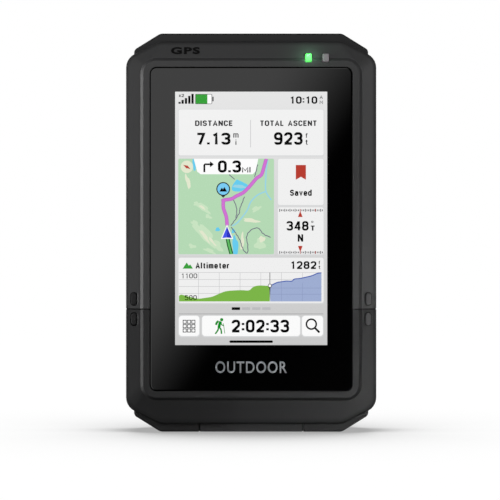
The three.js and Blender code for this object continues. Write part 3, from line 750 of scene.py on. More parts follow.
BACK_Z = HOUSING.back
CAVITY_BACK_Z = BACK_Z + 3.2
BOSS_TOP_Z = Box("front_chassis").back - 0.2
PORT_Z = Box("usb_shell").z
KEY_PLACE = (KEY.y, KEY.z)
CAP_SEAT_HEIGHT = 2.2
HINGE = (Box("cap_hinge_pin").y, Box("cap_hinge_pin").z)
WELL = {"radius": 2.2, "floor": CASE_SCREW.back + 1.3, "boss": 3.1}
SLOT_HALF = LANYARD.width / 2 - 0.9
CASE_SCREW_PLACES = [
    (Box(f"case_screw_{row}_{side}").x, Box(f"case_screw_{row}_{side}").y)
    for row in ("lower", "middle", "upper")
    for side in ("left", "right")
]


def standing(height):
    """Bench place of something drawn in the port's own plane, looking up the case."""
    turn = Matrix.Rotation(-math.pi / 2, 4, "X")
    return Matrix.Translation((0, height, PORT_Z)) @ turn


def side_place(side):
    """Bench place of something drawn with z as the distance out of the case's side."""
    turn = Matrix.Rotation(side * math.pi / 2, 4, "Y")
    return Matrix.Translation((0, KEY_PLACE[0], KEY_PLACE[1])) @ turn


def moved(obj, place):
    obj.data.transform(place)
    return obj


def housing_shell():
    """Outer form: a soft shoulder round the back and an eased front rim."""
    shoulder, depth, steps = 4.2, 3.4, 7
    pull_in, pull_out = 1.3, 0.25
    rim_inset, rim_depth = 0.45, 0.55
    rings = []
    for k in range(steps + 1):
        t = k / steps
        inset = shoulder * (1 - t) ** 2 + 2 * pull_in * t * (1 - t)
        z = BACK_Z + 2 * pull_out * t * (1 - t) + depth * t * t
        rings.append((housing_outline(inset), z))
    for inset, z in ease((0.0, RIM_Z - rim_depth), (rim_inset, RIM_Z), 4):
        rings.append((housing_outline(inset), z))
    return skin(rings, name="housing")


def add_inner_blocks(shell, low, collar_top):
    """Screw bosses, the collar round the port and the block that holds the lanyard's bar."""
    adds = []
    for x, y in CASE_SCREW_PLACES:
        boss = circle(WELL["boss"], 48, x, y)
        adds.append(skin([(boss, CAVITY_BACK_Z - 0.5), (boss, BOSS_TOP_Z)]))
    collar_half = 8.5
    adds.append(block((-collar_half, collar_half), (low, collar_top), (PORT_Z - 5.4, BOSS_TOP_Z)))
    half = SLOT_HALF + 1
    across = (LANYARD.x - half, LANYARD.x + half)
    adds.append(block(across, (low, 13.0), (CAVITY_BACK_Z - 0.5, BACK_Z + 5.4)))
    carve(shell, *adds, operation="UNION")


def cut_screw_holes(shell):
    """Wells of the case screws, and the bores of all the housing's screws and of its vent."""
    wells = []
    for x, y in CASE_SCREW_PLACES:
        wells.append(
            pocket(lambda grow: circle(WELL["radius"] + grow, 40, x, y), WELL["floor"], BACK_Z, 0.3, -1)
        )
    carve(shell, joined(wells))
    screw_bore, vent_bore = 1.05, 0.6
    bores = [rod(screw_bore, 14, (x, y, BOSS_TOP_Z - 5), "Z") for x, y in CASE_SCREW_PLACES]
    bores += [rod(screw_bore, 6, (0, y, CAVITY_BACK_Z - 2), "Z") for y in (RAIL.y - 12, RAIL.y + 12)]
    bores.append(rod(vent_bore, 6, (12, 14, CAVITY_BACK_Z - 1), "Z", 20))
    carve(shell, joined(bores))


def cut_back_pockets(shell):
    """Pockets for the grip pads and the rail, the lanyard's slot and the hole for its bar."""
    gap = 0.15
    half_grip = GRIP.width / 2 + gap
    low, high = GRIP.bottom - gap, GRIP.top + gap
    grips = [
        pocket(
            lambda grow: rectangle(2 * half_grip, low, high, 1.6, -grow, 6, side * GRIP.x),
            BACK_Z + 0.8, BACK_Z, 0.2, -1,
        )
        for side in (-1, 1)
    ]
    recess_half = GRIP.x - half_grip - 1.8
    rail_recess = pocket(
        lambda grow: rectangle(2 * recess_half, RAIL.bottom - 4, RAIL.top + 4, 3, -grow, 8),
        BACK_Z + 1.8, BACK_Z, 0.35, -1,
    )
    slot = pocket(
        lambda grow: rectangle(2 * SLOT_HALF, 3.6, 12.0, 0.6, -grow, 5, LANYARD.x),
        BACK_Z + 4.2, BACK_Z, 0.3, -1,
    )
    carve(shell, joined([*grips, rail_recess, slot]))
    bar_hole = rod(LANYARD.height / 2 + 0.05, LANYARD.width + 0.1, (LANYARD.x, LANYARD.y, LANYARD.z))
    carve(shell, bar_hole)


def cut_port(shell, collar_top):
    """Seat of the port's cap, the opening in two steps, and the bore of the hinge pin."""
    seat_half, seat_back = CAP.width / 2 + 0.25, CAP.back - 0.25
    carve(shell, block((-seat_half, seat_half), (-1, CAP_SEAT_HEIGHT), (seat_back, RIM_Z + 1)))
    mouth, mouth_top = oblong(10.7, 5.0), Box("usb_shell").bottom - 0.1 - CAP_SEAT_HEIGHT
    sleeve, sleeve_top = oblong(9.4, 3.7), collar_top + 1 - CAP_SEAT_HEIGHT
    for outline, low, high in ((mouth, -0.5, mouth_top), (sleeve, 0.0, sleeve_top)):
        carve(shell, moved(skin([(outline, low), (outline, high)]), standing(CAP_SEAT_HEIGHT)))
    carve(shell, rod(0.5, CAP.width + 3.1, (0, HINGE[0], HINGE[1])))


def cut_key_holes(shell):
    wall_outer = HOUSING.width / 2
    width, height = 5.1, 15.5
    for side in (-1, 1):
        hole = pocket(
            lambda grow: oblong(width + 2 * grow, height + 2 * grow), wall_outer - 3.2, wall_outer, 0.3
        )
        carve(shell, moved(hole, side_place(side)))


def rear_housing(shape):
    shell = housing_shell()
    carve(shell, skin([(cavity_outline(), CAVITY_BACK_Z), (cavity_outline(), RIM_Z + 1)]))
    collar_top = shape.floor + 2.8
    add_inner_blocks(shell, shape.floor - 0.5, collar_top)
    cut_screw_holes(shell)
    cut_back_pockets(shell)
    cut_port(shell, collar_top)
    cut_key_holes(shell)
    return shell


class GPS_OT_add_housing(GpsOperator, bpy.types.Operator):
    """Rear housing with its screw wells, rail recess, grip pockets, lanyard slot and key holes"""

    bl_idname = "gps.add_housing"
    bl_label = "Add Rear Housing"

    def make(self, shape, look):
        material = moulded("housing_plastic", look.housing, 0.5, 2100.0, 0.3, 0.28)
        finish(rear_housing(shape), "rear_shell", material, nodes=["rear_housing"])


# ---------------------------------------------------------------- bezels

GLASS_CLEARANCE = 0.14
PLUG_POCKET = (1.9, 3.6)
UPPER_SLOPE = {"outer": 99.8, "inner": 97.0}
MARK_HEIGHT = 98.3
PLUG_PLACES = [
    (side * LEFT_PLUG.x, Box(f"seam_plug_{row}_left").y) for side in (-1, 1) for row in ("upper", "lower")
]


def bezel_body(shape, sink=0.0):
    """Both bezels as one body. sink sets its front back that far, and its sides in by a fifth of that."""
    skirt, top = BEZEL.back + sink, BEZEL.front - sink
    ring = shape.ring_land - sink
    foot = ring + shape.ring_wall
    edge, slope_foot = SLOPE_EDGE_Z - sink, SLOPE_FOOT_Z - sink
    side = sink / 5
    rings = [(bezel_outline(0.3 + side), skirt), (bezel_outline(side), skirt + 0.35)]
    for inset, z in ease((side, edge - shape.edge_roll), (0.4 + side, edge - 0.18), 4):
        rings.append((bezel_outline(inset), z))
    face = [
        (foot, slope_foot - 0.01),
        (foot - 0.2, slope_foot),
        (foot - 0.34, slope_foot + 0.1),
        (ring + 0.14, top - 0.24),
        (ring + 0.02, top - 0.07),
        (ring - 0.16, top),
    ]
    body = skin(rings + [(glass_outline(-reach), z) for reach, z in face], name="bezel")
    seat = GLASS_CLEARANCE + sink
    mouth = [
        (seat, RIM_Z - 1),
        (seat, top - 0.24),
        (seat + 0.04, top - 0.06),
        (seat + 0.14, top),
        (seat + 0.14, top + 1),
    ]
    opening = skin([(glass_outline(-reach), z) for reach, z in mouth])
    gap = 0.2 + sink
    around = housing_outline(-gap)
    over_housing = skin([(around, skirt - 1), (around, RIM_Z + gap)])
    inside = cavity_outline(0.05 - sink)
    over_chassis = skin([(inside, RIM_Z), (inside, RIM_Z + 0.9 + sink)])
    return carve(body, opening, over_housing, over_chassis)


class GPS_OT_add_bezels(GpsOperator, bpy.types.Operator):
    """Upper and lower bezel, with pockets for the plugs and the two light windows"""

    bl_idname = "gps.add_bezels"
    bl_label = "Add Bezels"

    def make(self, shape, look):
        whole = carve(bezel_body(shape), self.pockets())
        upper, lower = split(whole, SEAM_HEIGHT, shape.seam_gap)
        # The bezels' sides behind this z get painted shade.
        sides = SLOPE_EDGE_Z - 0.12
        plastic = moulded("bezel_plastic", look.bezel, 0.5, GRAIN, 0.18, 0.46, sides)
        soft = moulded("bezel_rubber", look.rubber, 0.52, 3000.0, 0.22, 0.3, sides)
        # The seam's lip gets a quarter of the lower bezel's tone: painted shade, so the seam reads as a dark
        # gap.
        dark = moulded("seam_lip_painted_shade", shade(look.rubber, 0.25)[:3], 0.8, 3000.0, 0.22, 0.2)
        lower.data.materials.append(soft)
        lip = self.tongue(shape)
        lip.data.materials.append(dark)
        lower = joined([lower, lip])
        finish(upper, "upper_bezel", plastic, nodes=["bezel_upper"])
        finish(lower, "lower_bezel", soft, nodes=["bezel_lower"])
        self.mark()

    def pockets(self):
        """Cutters for the four plugs and the two light windows."""
        slope = (SLOPE_EDGE_Z + SLOPE_FOOT_Z) / 2
        width, height = PLUG_POCKET
        cuts = []
        for x, y in PLUG_PLACES:
            cuts.append(pocket(lambda grow: oblong(width + 2 * grow, height + 2 * grow, 10, x, y),
                               LEFT_PLUG.back - 0.05, slope + 0.1, 0.05))
        gap = 0.1
        for pipe in (STATUS_PIPE, SENSOR_PIPE):
            wide, low, high = pipe.width + 2 * gap, pipe.bottom - gap, pipe.top + gap
            cuts.append(pocket(lambda grow: rectangle(wide, low, high, 0.3, -grow, 5, pipe.x),
                               RIM_Z, BEZEL.front - 0.02, 0.1))
        return joined(cuts)

    def tongue(self, shape):
        """Thin lip of the lower bezel that closes the seam from behind."""
        half = shape.seam_gap / 2
        lip = cut_level(bezel_body(shape, 0.45), SEAM_HEIGHT - half - 0.05, True)
        return cut_level(lip, SEAM_HEIGHT + half, False)

    def mark(self):
        """Small dark lettering let into the upper slope; its dark fill is painted shade standing in for
        debossed letters.
        """
        rise = SLOPE_FOOT_Z - SLOPE_EDGE_Z
        run = UPPER_SLOPE["outer"] - UPPER_SLOPE["inner"]
        z = SLOPE_EDGE_Z + rise * (UPPER_SLOPE["outer"] - MARK_HEIGHT) / run
        words = lettering("GPS", (-20.6, -13.2), (-0.95, 0.95), 0.12, 0.0, spread=1.15, bold=0.035)
        tilt = Matrix.Rotation(-math.atan(rise / run), 4, "X")
        moved(words, Matrix.Translation((0, MARK_HEIGHT, z)) @ tilt)
        # The lettering's near-black fill is painted shade, not ink.
        finish(words, "bezel_mark", print_and_shade_finish("mark_painted_shade", (0.003, 0.003, 0.003), 0.1))


class GPS_OT_add_seam_plugs(GpsOperator, bpy.types.Operator):
    """Four soft plugs beside the seam: one modelled, three copied"""

    bl_idname = "gps.add_seam_plugs"
    bl_label = "Add Seam Plugs"

    def make(self, shape, look):
        back, front = LEFT_PLUG.back, LEFT_PLUG.front
        width, height = LEFT_PLUG.width, LEFT_PLUG.height
        edge = [(0.12, back), (0.0, back + 0.12), (0.0, front - 0.2), (0.05, front - 0.08), (0.18, front),
                (0.42, front + 0.03)]
        model = skin([(oblong(width - 2 * inset, height - 2 * inset, 12), z) for inset, z in edge])
        # Lit and shaded copies of one rubber: the left plugs are darkened as painted shade, the right plugs
        # lightened as painted light.
        fresh = rubber("plug_rubber", shade(look.rubber, 0.5)[:3])
        painted_light = rubber("plug_rubber_dusty", shade(look.rubber, 3.2)[:3])
        names = [f"{row}_{side}" for side in ("left", "right") for row in ("upper", "lower")]
        for (x, y), name in zip(PLUG_PLACES, names):
            plug = clone(model, (x, y, 0))
            material = fresh if x < 0 else painted_light
            finish(plug, f"plug_{name}", material, nodes=[f"seam_plug_{name}"])
        bpy.data.objects.remove(model)


# ---------------------------------------------------------------- glass, lights and lettering


class GPS_OT_add_glass(GpsOperator, bpy.types.Operator):
    """Cover glass with ground edges and black ink around the clear window"""

    bl_idname = "gps.add_glass"
    bl_label = "Add Cover Glass"

    def make(self, shape, look):
        back, front = GLASS.back, GLASS.front
        edge = [(0.18, back), (0.0, back + 0.18), (0.0, front - 0.14), (0.04, front - 0.04), (0.14, front),
                (0.3, front)]
        glass = skin([(glass_outline(inset), z) for inset, z in edge])
        finish(glass, "front_glass", glass_finish(), nodes=["cover_glass"])
        words = lettering("OUTDOOR", (-9.2, 9.2), (15.35, 18.4), 0.02, front + 0.004, spread=1.12, bold=0.012)
        finish(words, "glass_lettering", print_and_shade_finish("glass_ink", screen_rgb(152, 157, 162)))


def lettering(words, across, up, thickness, z, spread, bold):
    """Lettering fitted to a box on the bench, as a thin solid that stands on z."""
    deselect()
    curve = bpy.data.curves.new("lettering", "FONT")
    curve.body = words
    curve.space_character = spread
    curve.offset = bold
    curve.resolution_u = 4
    curve.fill_mode = "BOTH"
    curve.extrude = 0.5
    obj = bpy.data.objects.new("lettering", curve)
    bpy.context.scene.collection.objects.link(obj)
    activate(obj)
    bpy.ops.object.convert(target="MESH")
    obj = bpy.context.object
    places = [vertex.co for vertex in obj.data.vertices]
    low = [min(c[i] for c in places) for i in range(3)]
    high = [max(c[i] for c in places) for i in range(3)]
    spans = (across, up, (z, z + thickness))
    for vertex in obj.data.vertices:
        vertex.co = [
            span[0] + (c - a) / (b - a) * (span[1] - span[0])
            for c, a, b, span in zip(vertex.co, low, high, spans)
        ]
    bpy.ops.object.mode_set(mode="EDIT")
    bpy.ops.mesh.select_all(action="SELECT")
    bpy.ops.mesh.remove_doubles(threshold=0.0001)
    bpy.ops.object.mode_set(mode="OBJECT")
    return obj


class GPS_OT_add_light_windows(GpsOperator, bpy.types.Operator):
    """Green status window and grey light sensor window in the ring"""

    bl_idname = "gps.add_light_windows"
    bl_label = "Add Light Windows"

    def make(self, shape, look):
        green = list(look.status)
        # The sensor window is no lamp: its faint glow is painted light.
        grey, faint = (0.13, 0.13, 0.135), (0.112, 0.092, 0.105)
        windows = [
            ("status_window", "status_light_pipe", STATUS_PIPE, "green_lens", shade(green, 0.3), green, 1.0),
            ("sensor_window", "light_sensor_pipe", SENSOR_PIPE, "grey_lens", grey, faint, 0.9),
        ]
        for name, node, pipe, slot, body, glow, strength in windows:
            edge = [(0.0, pipe.back), (0.0, pipe.front - 0.2), (0.05, pipe.front - 0.06), (0.18, pipe.front),
                    (0.4, pipe.front + 0.03)]
            rings = []
            for inset, z in edge:
                rings.append((rectangle(pipe.width, pipe.bottom, pipe.top, 0.3, inset, 5, pipe.x), z))
            material = lens_finish(slot, body, glow, strength, (pipe.x, pipe.y))
            finish(skin(rings), name, material, nodes=[node])


# ---------------------------------------------------------------- side keys and port cap


class GPS_OT_add_keys(GpsOperator, bpy.types.Operator):
    """Power key and user key: crowned rubber oblongs on flanged plungers"""

    bl_idname = "gps.add_keys"
    bl_label = "Add Side Keys"

    def make(self, shape, look):
        material = rubber("key_rubber", look.keys, 0.6)
        face = HOUSING.width / 2 - shape.wall - 0.2
        outer = KEY.right
        seal_low, seal_high = KEY_SEAL.left - 0.1, KEY_SEAL.right + 0.1
        width, height = 4.6, 15.0
        flange, groove = -0.6, 0.5
        section = [
            (flange, face - 0.9), (flange, face), (0.0, face),
            (0.0, seal_low), (groove, seal_low), (groove, seal_high), (0.0, seal_high),
            (0.0, outer - 0.75), (0.06, outer - 0.45), (0.22, outer - 0.22), (0.5, outer - 0.08),
            (1.0, outer - 0.01), (1.7, outer),
        ]
        key = skin([(oblong(width - 2 * inset, height - 2 * inset), z) for inset, z in section])
        plunger = block((-1.7, 1.7), (-2, 2), (KEY.left, face - 0.5))
        carve(key, plunger, operation="UNION")
        for name, side, node in (("power_key", 1, "power_button"), ("user_key", -1, "user_button")):
            piece = clone(key, (0, 0, 0))
            carve(piece, self.power_mark(outer) if side > 0 else self.grooves(outer))
            place = FACE @ side_place(side)
            finish(piece, name, material, body=name, nodes=[node], place=place)
        bpy.data.objects.remove(key)

    def grooves(self, outer):
        """Cutter for three short grooves across the key."""
        return joined([rod(0.28, 3.2, (0, y, outer + 0.1), "X", 16) for y in (-2.4, 0, 2.4)])

    def power_mark(self, outer):
        """Cutter for a broken ring with an upright stroke through the gap."""
        radius, pen = 1.25, 0.36
        low, high = outer - 0.16, outer + 0.5
        turns = [math.radians(a - 180) for a in range(-50, 231, 20)]
        band = ribbon([(radius * math.cos(a), radius * math.sin(a)) for a in turns], pen, smooth=1)
        ring = skin([(band, low), (band, high)])
        stroke = block((-pen / 2, pen / 2), (0.35, 1.7), (low, high))
        return joined([ring, stroke])


class GPS_OT_add_port_cap(GpsOperator, bpy.types.Operator):
    """Weather cap over the charging port, with its seal plug; the hinge pin stays the case solid"""

    bl_idname = "gps.add_port_cap"
    bl_label = "Add Port Cap"

    def make(self, shape, look):
        cap = bench_copy("usb_cap")
        half = CAP.width / 2
        slit_width, slit_depth, rib = 0.14, 2.0, 0.2
        lip_z = CAP.front - slit_depth
        base = block((-half, half), (0.04, CAP.bottom + 0.4), (CAP.back + 3.5, CAP.front))
        backing = block((-half - rib, half + rib), (0.06, CAP.top - 0.1), (lip_z - 3.0, lip_z))
        carve(cap, base, backing, operation="UNION")
        slits = []
        for side in (-1, 1):
            across = sorted((side * (half - slit_width), side * (half + 1)))
            slits.append(block(across, (-1, CAP.top + 1), (lip_z, CAP.front + 1)))
        grip = rod(0.55, 9.0, (0, -0.15, CAP.front - 2.2), "X", 24)
        carve(cap, joined(slits), grip)
        soften(cap, 0.12, 2)
        finish(cap, "port_cap_cover", rubber("cap_rubber", look.keys, 0.6), body="port_cap",
               nodes=["usb_cap"])
        seal = Box("usb_cap_seal")
        foot, tip = seal.bottom - CAP_SEAT_HEIGHT, seal.top - CAP_SEAT_HEIGHT
        section = [(0.0, foot), (0.0, foot + 0.25), (0.2, foot + 0.4), (0.2, tip - 0.45), (0.05, tip - 0.3),
                   (0.15, tip - 0.1), (0.5, tip)]
        plug = skin([(oblong(seal.width - 2 * i, seal.front - seal.back - 2 * i), z) for i, z in section])
        moved(plug, standing(CAP_SEAT_HEIGHT))
        finish(plug, "port_cap_plug", rubber("seal_rubber", shade(look.keys, 1.6)[:3], 0.5),
               body="port_cap", nodes=["usb_cap_seal"])


# ---------------------------------------------------------------- back fittings


class GPS_OT_add_back_fittings(GpsOperator, bpy.types.Operator):
    """Mounting rail, ribbed grip pads and lanyard bar"""

    bl_idname = "gps.add_back_fittings"
    bl_label = "Add Back Fittings"

    def make(self, shape, look):
        rail = soften(bench_copy("mount_rail"), 0.22, 3)
        finish(rail, "rail", moulded("rail_plastic", look.housing, 0.4, 2400.0, 0.2),
               nodes=["mount_rail"])
        self.grips(look)
        half = LANYARD.width / 2
        radius = LANYARD.height / 2
        section = [(radius - 0.2, -half), (radius, -half + 0.2), (radius, half - 0.2), (radius - 0.2, half)]
        rings = [(circle(r), z) for r, z in section]
        place = Matrix.Translation((LANYARD.x, LANYARD.y, LANYARD.z)) @ Matrix.Rotation(math.pi / 2, 4, "Y")
        finish(moved(skin(rings), place), "lanyard_pin", metal("steel", (0.55, 0.56, 0.57)),
               nodes=["lanyard_bar"])

    def grips(self, look):
        edge = [(0.0, GRIP.front), (0.0, GRIP.back + 0.28), (0.07, GRIP.back + 0.1), (0.24, GRIP.back)]
        pad = skin([(rectangle(GRIP.width, GRIP.bottom, GRIP.top, 1.5, i, 6), z) for i, z in edge])
        pitch = 2.0
        count = int((GRIP.height - 3) / pitch)
        start = GRIP.y - pitch * (count - 1) / 2
        heights = [start + i * pitch for i in range(count)]
        carve(pad, joined([rod(0.55, GRIP.width + 2, (0, y, GRIP.back - 0.2), "X", 16) for y in heights]))
        material = rubber("grip_rubber", shade(look.keys, 1.3)[:3], 0.72)
        for name, side in (("left", -1), ("right", 1)):
            piece = clone(pad, (side * GRIP.x, 0, 0))
            finish(piece, f"grip_{name}", material, nodes=[f"grip_pad_{name}"])
        bpy.data.objects.remove(pad)


class GPS_OT_add_screws(GpsOperator, bpy.types.Operator):
    """Socket-head screws: one of each size modelled with its thread, and copied"""

    bl_idname = "gps.add_screws"
    bl_label = "Add Screws"

    def make(self, shape, look):
        material = metal("dark_steel", (0.09, 0.09, 0.095), 0.34, (900.0, 900.0, 900.0))
        kinds = [
            (CASE_SCREW, [f"case_screw_{row}_{side}" for row in ("lower", "middle", "upper")
                          for side in ("left", "right")], 0.9, 1.25),
            (RAIL_SCREW, ["rail_screw_lower", "rail_screw_upper"], 0.9, 0.9),
            (Box("board_screw_lower_left"), [f"board_screw_{row}_{side}" for row in ("lower", "upper")
                                             for side in ("left", "right")], 0.7, 0.75),
        ]
        for box, nodes, shank, head in kinds:
            model = self.screw(box.width / 2, head, shank, box.front - box.back)
            for node in nodes:
                at = Box(node)
                piece = clone(model, (at.x, at.y, at.back))
                finish(piece, node + "_socket_head", material, nodes=[node])
            bpy.data.objects.remove(model)

    def screw(self, radius, head, shank, length):
        """A screw whose head starts at z = 0, with its thread's grooves as rings and a six-sided socket."""
        pitch, groove = 0.5, 0.16
        section = [(radius - 0.3, 0.0), (radius - 0.1, 0.06), (radius, 0.22), (radius, head - 0.12),
                   (radius - 0.12, head), (shank - 0.08, head), (shank - 0.08, head + 0.3)]
        turns = int((length - head - 0.9) / pitch)
        for i in range(turns):
            z = head + 0.4 + i * pitch
            section += [(shank - groove, z), (shank, z + pitch / 2)]
        section += [(shank - groove, length - 0.35), (shank - 0.35, length)]
        body = skin([(circle(r, 24), z) for r, z in section])
        socket_radius, socket_depth = radius * 0.5, head * 0.7
        socket = pocket(lambda grow: circle(socket_radius + grow, 6), socket_depth, 0.0, 0.08, -1)
        return carve(body, socket)


# ---------------------------------------------------------------- the picture on the screen

INKS = {
    "page": (231, 231, 231), "edge": (219, 220, 221), "tile": (243, 243, 243), "white": (255, 255, 255),
    "black": (8, 8, 8), "dark": (40, 40, 42), "tick": (52, 52, 56), "mid": (150, 150, 152),
    "pale": (192, 192, 194), "green": (58, 160, 60), "walker": (16, 140, 36), "red": (184, 62, 50),
    "land": (183, 220, 183), "meadow": (203, 230, 196), "cream": (229, 234, 208),
    "lake": (104, 206, 240), "shallow": (156, 214, 230), "trail": (112, 108, 130),
    "route": (212, 116, 214), "route_edge": (186, 100, 190), "pin": (124, 206, 246),
    "arrow": (70, 86, 236), "arrow_dark": (44, 50, 190), "track": (96, 190, 100),
    "track_edge": (28, 92, 44), "climb": (126, 184, 74), "ahead": (161, 176, 213),
    "ahead_line": (74, 98, 176), "ahead_grid": (138, 150, 190),
}
LAYER_STEP = 0.019
LAYER_THICKNESS = 0.013


def curved_path(points, steps):
    """Points of a smooth line through the given ones."""
    points = [Vector(p) for p in points]
    if steps < 2 or len(points) < 3:
        return points
    path = []
    for i in range(len(points) - 1):
        a = points[max(i - 1, 0)]
        b, c = points[i], points[i + 1]
        d = points[min(i + 2, len(points) - 1)]
        for k in range(steps):
            t = k / steps
            path.append(0.5 * ((2 * b) + (c - a) * t + (2 * a - 5 * b + 4 * c - d) * t * t
                               + (3 * b - a - 3 * c + d) * t ** 3))
    return path + [points[-1]]


def beside(path, distance, closed=False):
    """A path moved sideways by distance, with mitred bends."""
    sides = []
    for i, point in enumerate(path):
        first = not closed and i == 0
        last = not closed and i == len(path) - 1
        out = (path[(i + 1) % len(path)] - point).normalized() if not last else None
        into = (point - path[i - 1]).normalized() if not first else out
        out = out or into
        along = (into + out).normalized()
        stretch = min(1 / max(into.dot(along), 0.1), 1.6)
        sides.append(point + Vector((-along.y, along.x)) * (distance * stretch))
    return sides


def ribbon(points, width, smooth=4):
    """Outline of a line of that width."""
    path = curved_path(points, smooth)
    return beside(path, width / 2) + beside(path, -width / 2)[::-1]


def line(*points, bend=0.0):
    """Open pen line. bend rounds its corners."""
    return [Vector(p) for p in points], bend, False


def loop(left, low, right, high, bend=1.5):
    """Closed pen line round a box."""
    return [Vector(p) for p in ((left, low), (right, low), (right, high), (left, high))], bend, True


GLYPHS = {
    " ": (1.2, []),
    ".": (0.0, [line((0, -0.6), (0, 0.65))]),
    ":": (0.0, [line((0, 0.5), (0, 1.75)), line((0, 3.6), (0, 4.85))]),
    "0": (3.6, [loop(0, 0, 3.6, 6)]),
    "1": (3.2, [line((0.5, 4.9), (2.0, 6.0), (2.0, -0.6))]),
    "2": (3.6, [line((0, 4.6), (0, 6), (3.5, 6), (3.5, 3.4), (-0.1, -0.1), bend=1.5),
                line((-0.5, 0), (3.9, 0))]),
    "3": (3.6, [line((0, 4.9), (0, 6), (3.5, 6), (3.5, 3.15), (1.2, 3.15), bend=1.4),
                line((1.2, 3.15), (3.6, 3.15), (3.6, 0), (0, 0), (0, 1.1), bend=1.4)]),
    "4": (3.6, [line((2.8, -0.6), (2.8, 6.6)), line((2.5, 6.4), (0.1, 1.5), (4.0, 1.5))]),
    "5": (3.6, [line((3.5, 6), (0.3, 6), (0.1, 3.2)),
                line((0.1, 3.7), (3.6, 3.7), (3.6, 0), (0, 0), (0, 1.1), bend=1.5)]),
    "7": (3.4, [line((-0.4, 6), (3.2, 6), (1.0, -0.6))]),
    "8": (3.6, [loop(0, 0, 3.6, 3.15, 1.4), loop(0.1, 3.15, 3.5, 6, 1.3)]),
    "9": (3.6, [loop(0, 2.7, 3.6, 6), line((3.6, 4.4), (3.6, 0), (0.2, 0), (0.2, 0.9), bend=1.5)]),
    "A": (3.8, [line((0, -0.6), (1.9, 6.2), (3.8, -0.6)), line((0.7, 1.7), (3.1, 1.7))]),
    "C": (3.2, [line((3.2, 4.3), (3.2, 6), (0, 6), (0, 0), (3.2, 0), (3.2, 1.7), bend=1.5)]),
    "D": (3.3, [line((0, -0.6), (0, 6.6)), line((0, 6), (3.3, 6), (3.3, 0), (0, 0), bend=1.7)]),
    "E": (2.7, [line((3.0, 6), (0, 6), (0, 0), (3.0, 0)), line((0, 3.1), (2.6, 3.1))]),
    "I": (0.0, [line((0, -0.6), (0, 6.6))]),
    "L": (2.6, [line((0, 6.6), (0, 0), (2.8, 0))]),
    "M": (4.4, [line((0, -0.6), (0, 6), (2.2, 1.8), (4.4, 6), (4.4, -0.6))]),
    "N": (3.3, [line((0, -0.6), (0, 6.6)), line((0, 6.2), (3.3, -0.2)), line((3.3, -0.6), (3.3, 6.6))]),
    "O": (3.5, [loop(0, 0, 3.5, 6)]),
    "S": (3.2, [line((3.2, 4.7), (3.2, 6), (0, 6), (0, 3.15), (3.2, 3.15), (3.2, 0), (0, 0), (0, 1.3),
                     bend=1.4)]),
    "T": (3.0, [line((-0.4, 6), (3.4, 6)), line((1.5, 6), (1.5, -0.6))]),
    "a": (2.8, [line((0.2, 3.3), (0.2, 4.3), (2.8, 4.3), (2.8, -0.6), bend=1.1),
                line((2.8, 2.5), (0, 2.5), (0, 0), (2.8, 0), (2.8, 1.0), bend=1.1)]),
    "d": (2.9, [loop(0, 0, 2.9, 4.3, 1.3), line((2.9, -0.6), (2.9, 6.9))]),
    "e": (2.8, [line((0, 2.1), (2.8, 2.1), (2.8, 2.2)),
                line((2.8, 2.0), (2.8, 4.3), (0, 4.3), (0, 0), (2.7, 0), (2.7, 0.9), bend=1.3)]),
    "f": (1.9, [line((2.2, 6.3), (0.8, 6.3), (0.8, -0.6), bend=0.9), line((-0.2, 4.3), (2.0, 4.3))]),
    "i": (0.0, [line((0, -0.6), (0, 4.7)), line((0, 5.8), (0, 6.9))]),
    "l": (0.0, [line((0, -0.6), (0, 6.9))]),
    "m": (4.2, [line((0, -0.6), (0, 4.8)), line((0, 3.3), (0, 4.3), (2.1, 4.3), (2.1, -0.6), bend=0.9),
                line((2.1, 3.3), (2.1, 4.3), (4.2, 4.3), (4.2, -0.6), bend=0.9)]),
    "r": (1.7, [line((0, -0.6), (0, 4.8)), line((0, 3.1), (0, 4.3), (1.9, 4.3), bend=1.0)]),
    "t": (1.8, [line((0.8, 6.0), (0.8, 0), (2.0, 0), bend=0.9), line((-0.2, 4.3), (2.0, 4.3))]),
    "v": (3.0, [line((0, 4.8), (1.5, -0.2), (3.0, 4.8))]),
    "x": (2.8, [line((0, 4.8), (2.8, -0.5)), line((0, -0.5), (2.8, 4.8))]),
}


def pen_path(points, bend, closed):
    """A pen line with its corners rounded as far as they have room."""
    if not bend:
        return points
    path = []
    for i, corner in enumerate(points):
        if not closed and i in (0, len(points) - 1):
            path.append(corner)
            continue
        back = points[i - 1] - corner
        on = points[(i + 1) % len(points)] - corner
        half = back.angle(on) / 2
        room_back = back.length * (1.0 if not closed and i == 1 else 0.5)
        room_on = on.length * (1.0 if not closed and i == len(points) - 2 else 0.5)
        cut = min(bend / math.tan(half), room_back, room_on) * 0.999
        radius = cut * math.tan(half)
        middle = corner + (back.normalized() + on.normalized()).normalized() * (radius / math.sin(half))
        spoke = corner + back.normalized() * cut - middle
        turn = math.copysign(math.pi - 2 * half, on.cross(back))
        path += [middle + Matrix.Rotation(turn * k / 5, 2) @ spoke for k in range(6)]
    return path


def pen_words(words, pen):
    """Outlines of the words' pen lines, one list for each line, in pen units."""
    strokes = []
    start = 0.0
    for letter in words:
        width, lines = GLYPHS[letter]
        for points, bend, closed in lines:
            path = [p + Vector((start, 0)) for p in pen_path(points, bend, closed)]
            sides = [beside(path, pen / 2, closed), beside(path, -pen / 2, closed)]
            strokes.append(sides if closed else [sides[0] + sides[1][::-1]])
        start += width + pen + 0.85
    return strokes


def bar(left, right, top, bottom, corner=0.0):
    """Upright rectangle on the screen, with round corners if corner isn't 0."""
    if corner:
        return rounded([(left, top), (right, top), (right, bottom), (left, bottom)], [corner], 6)
    return [Vector(place) for place in ((left, top), (right, top), (right, bottom), (left, bottom))]


def polygon(*places):
    return [Vector(place) for place in places]


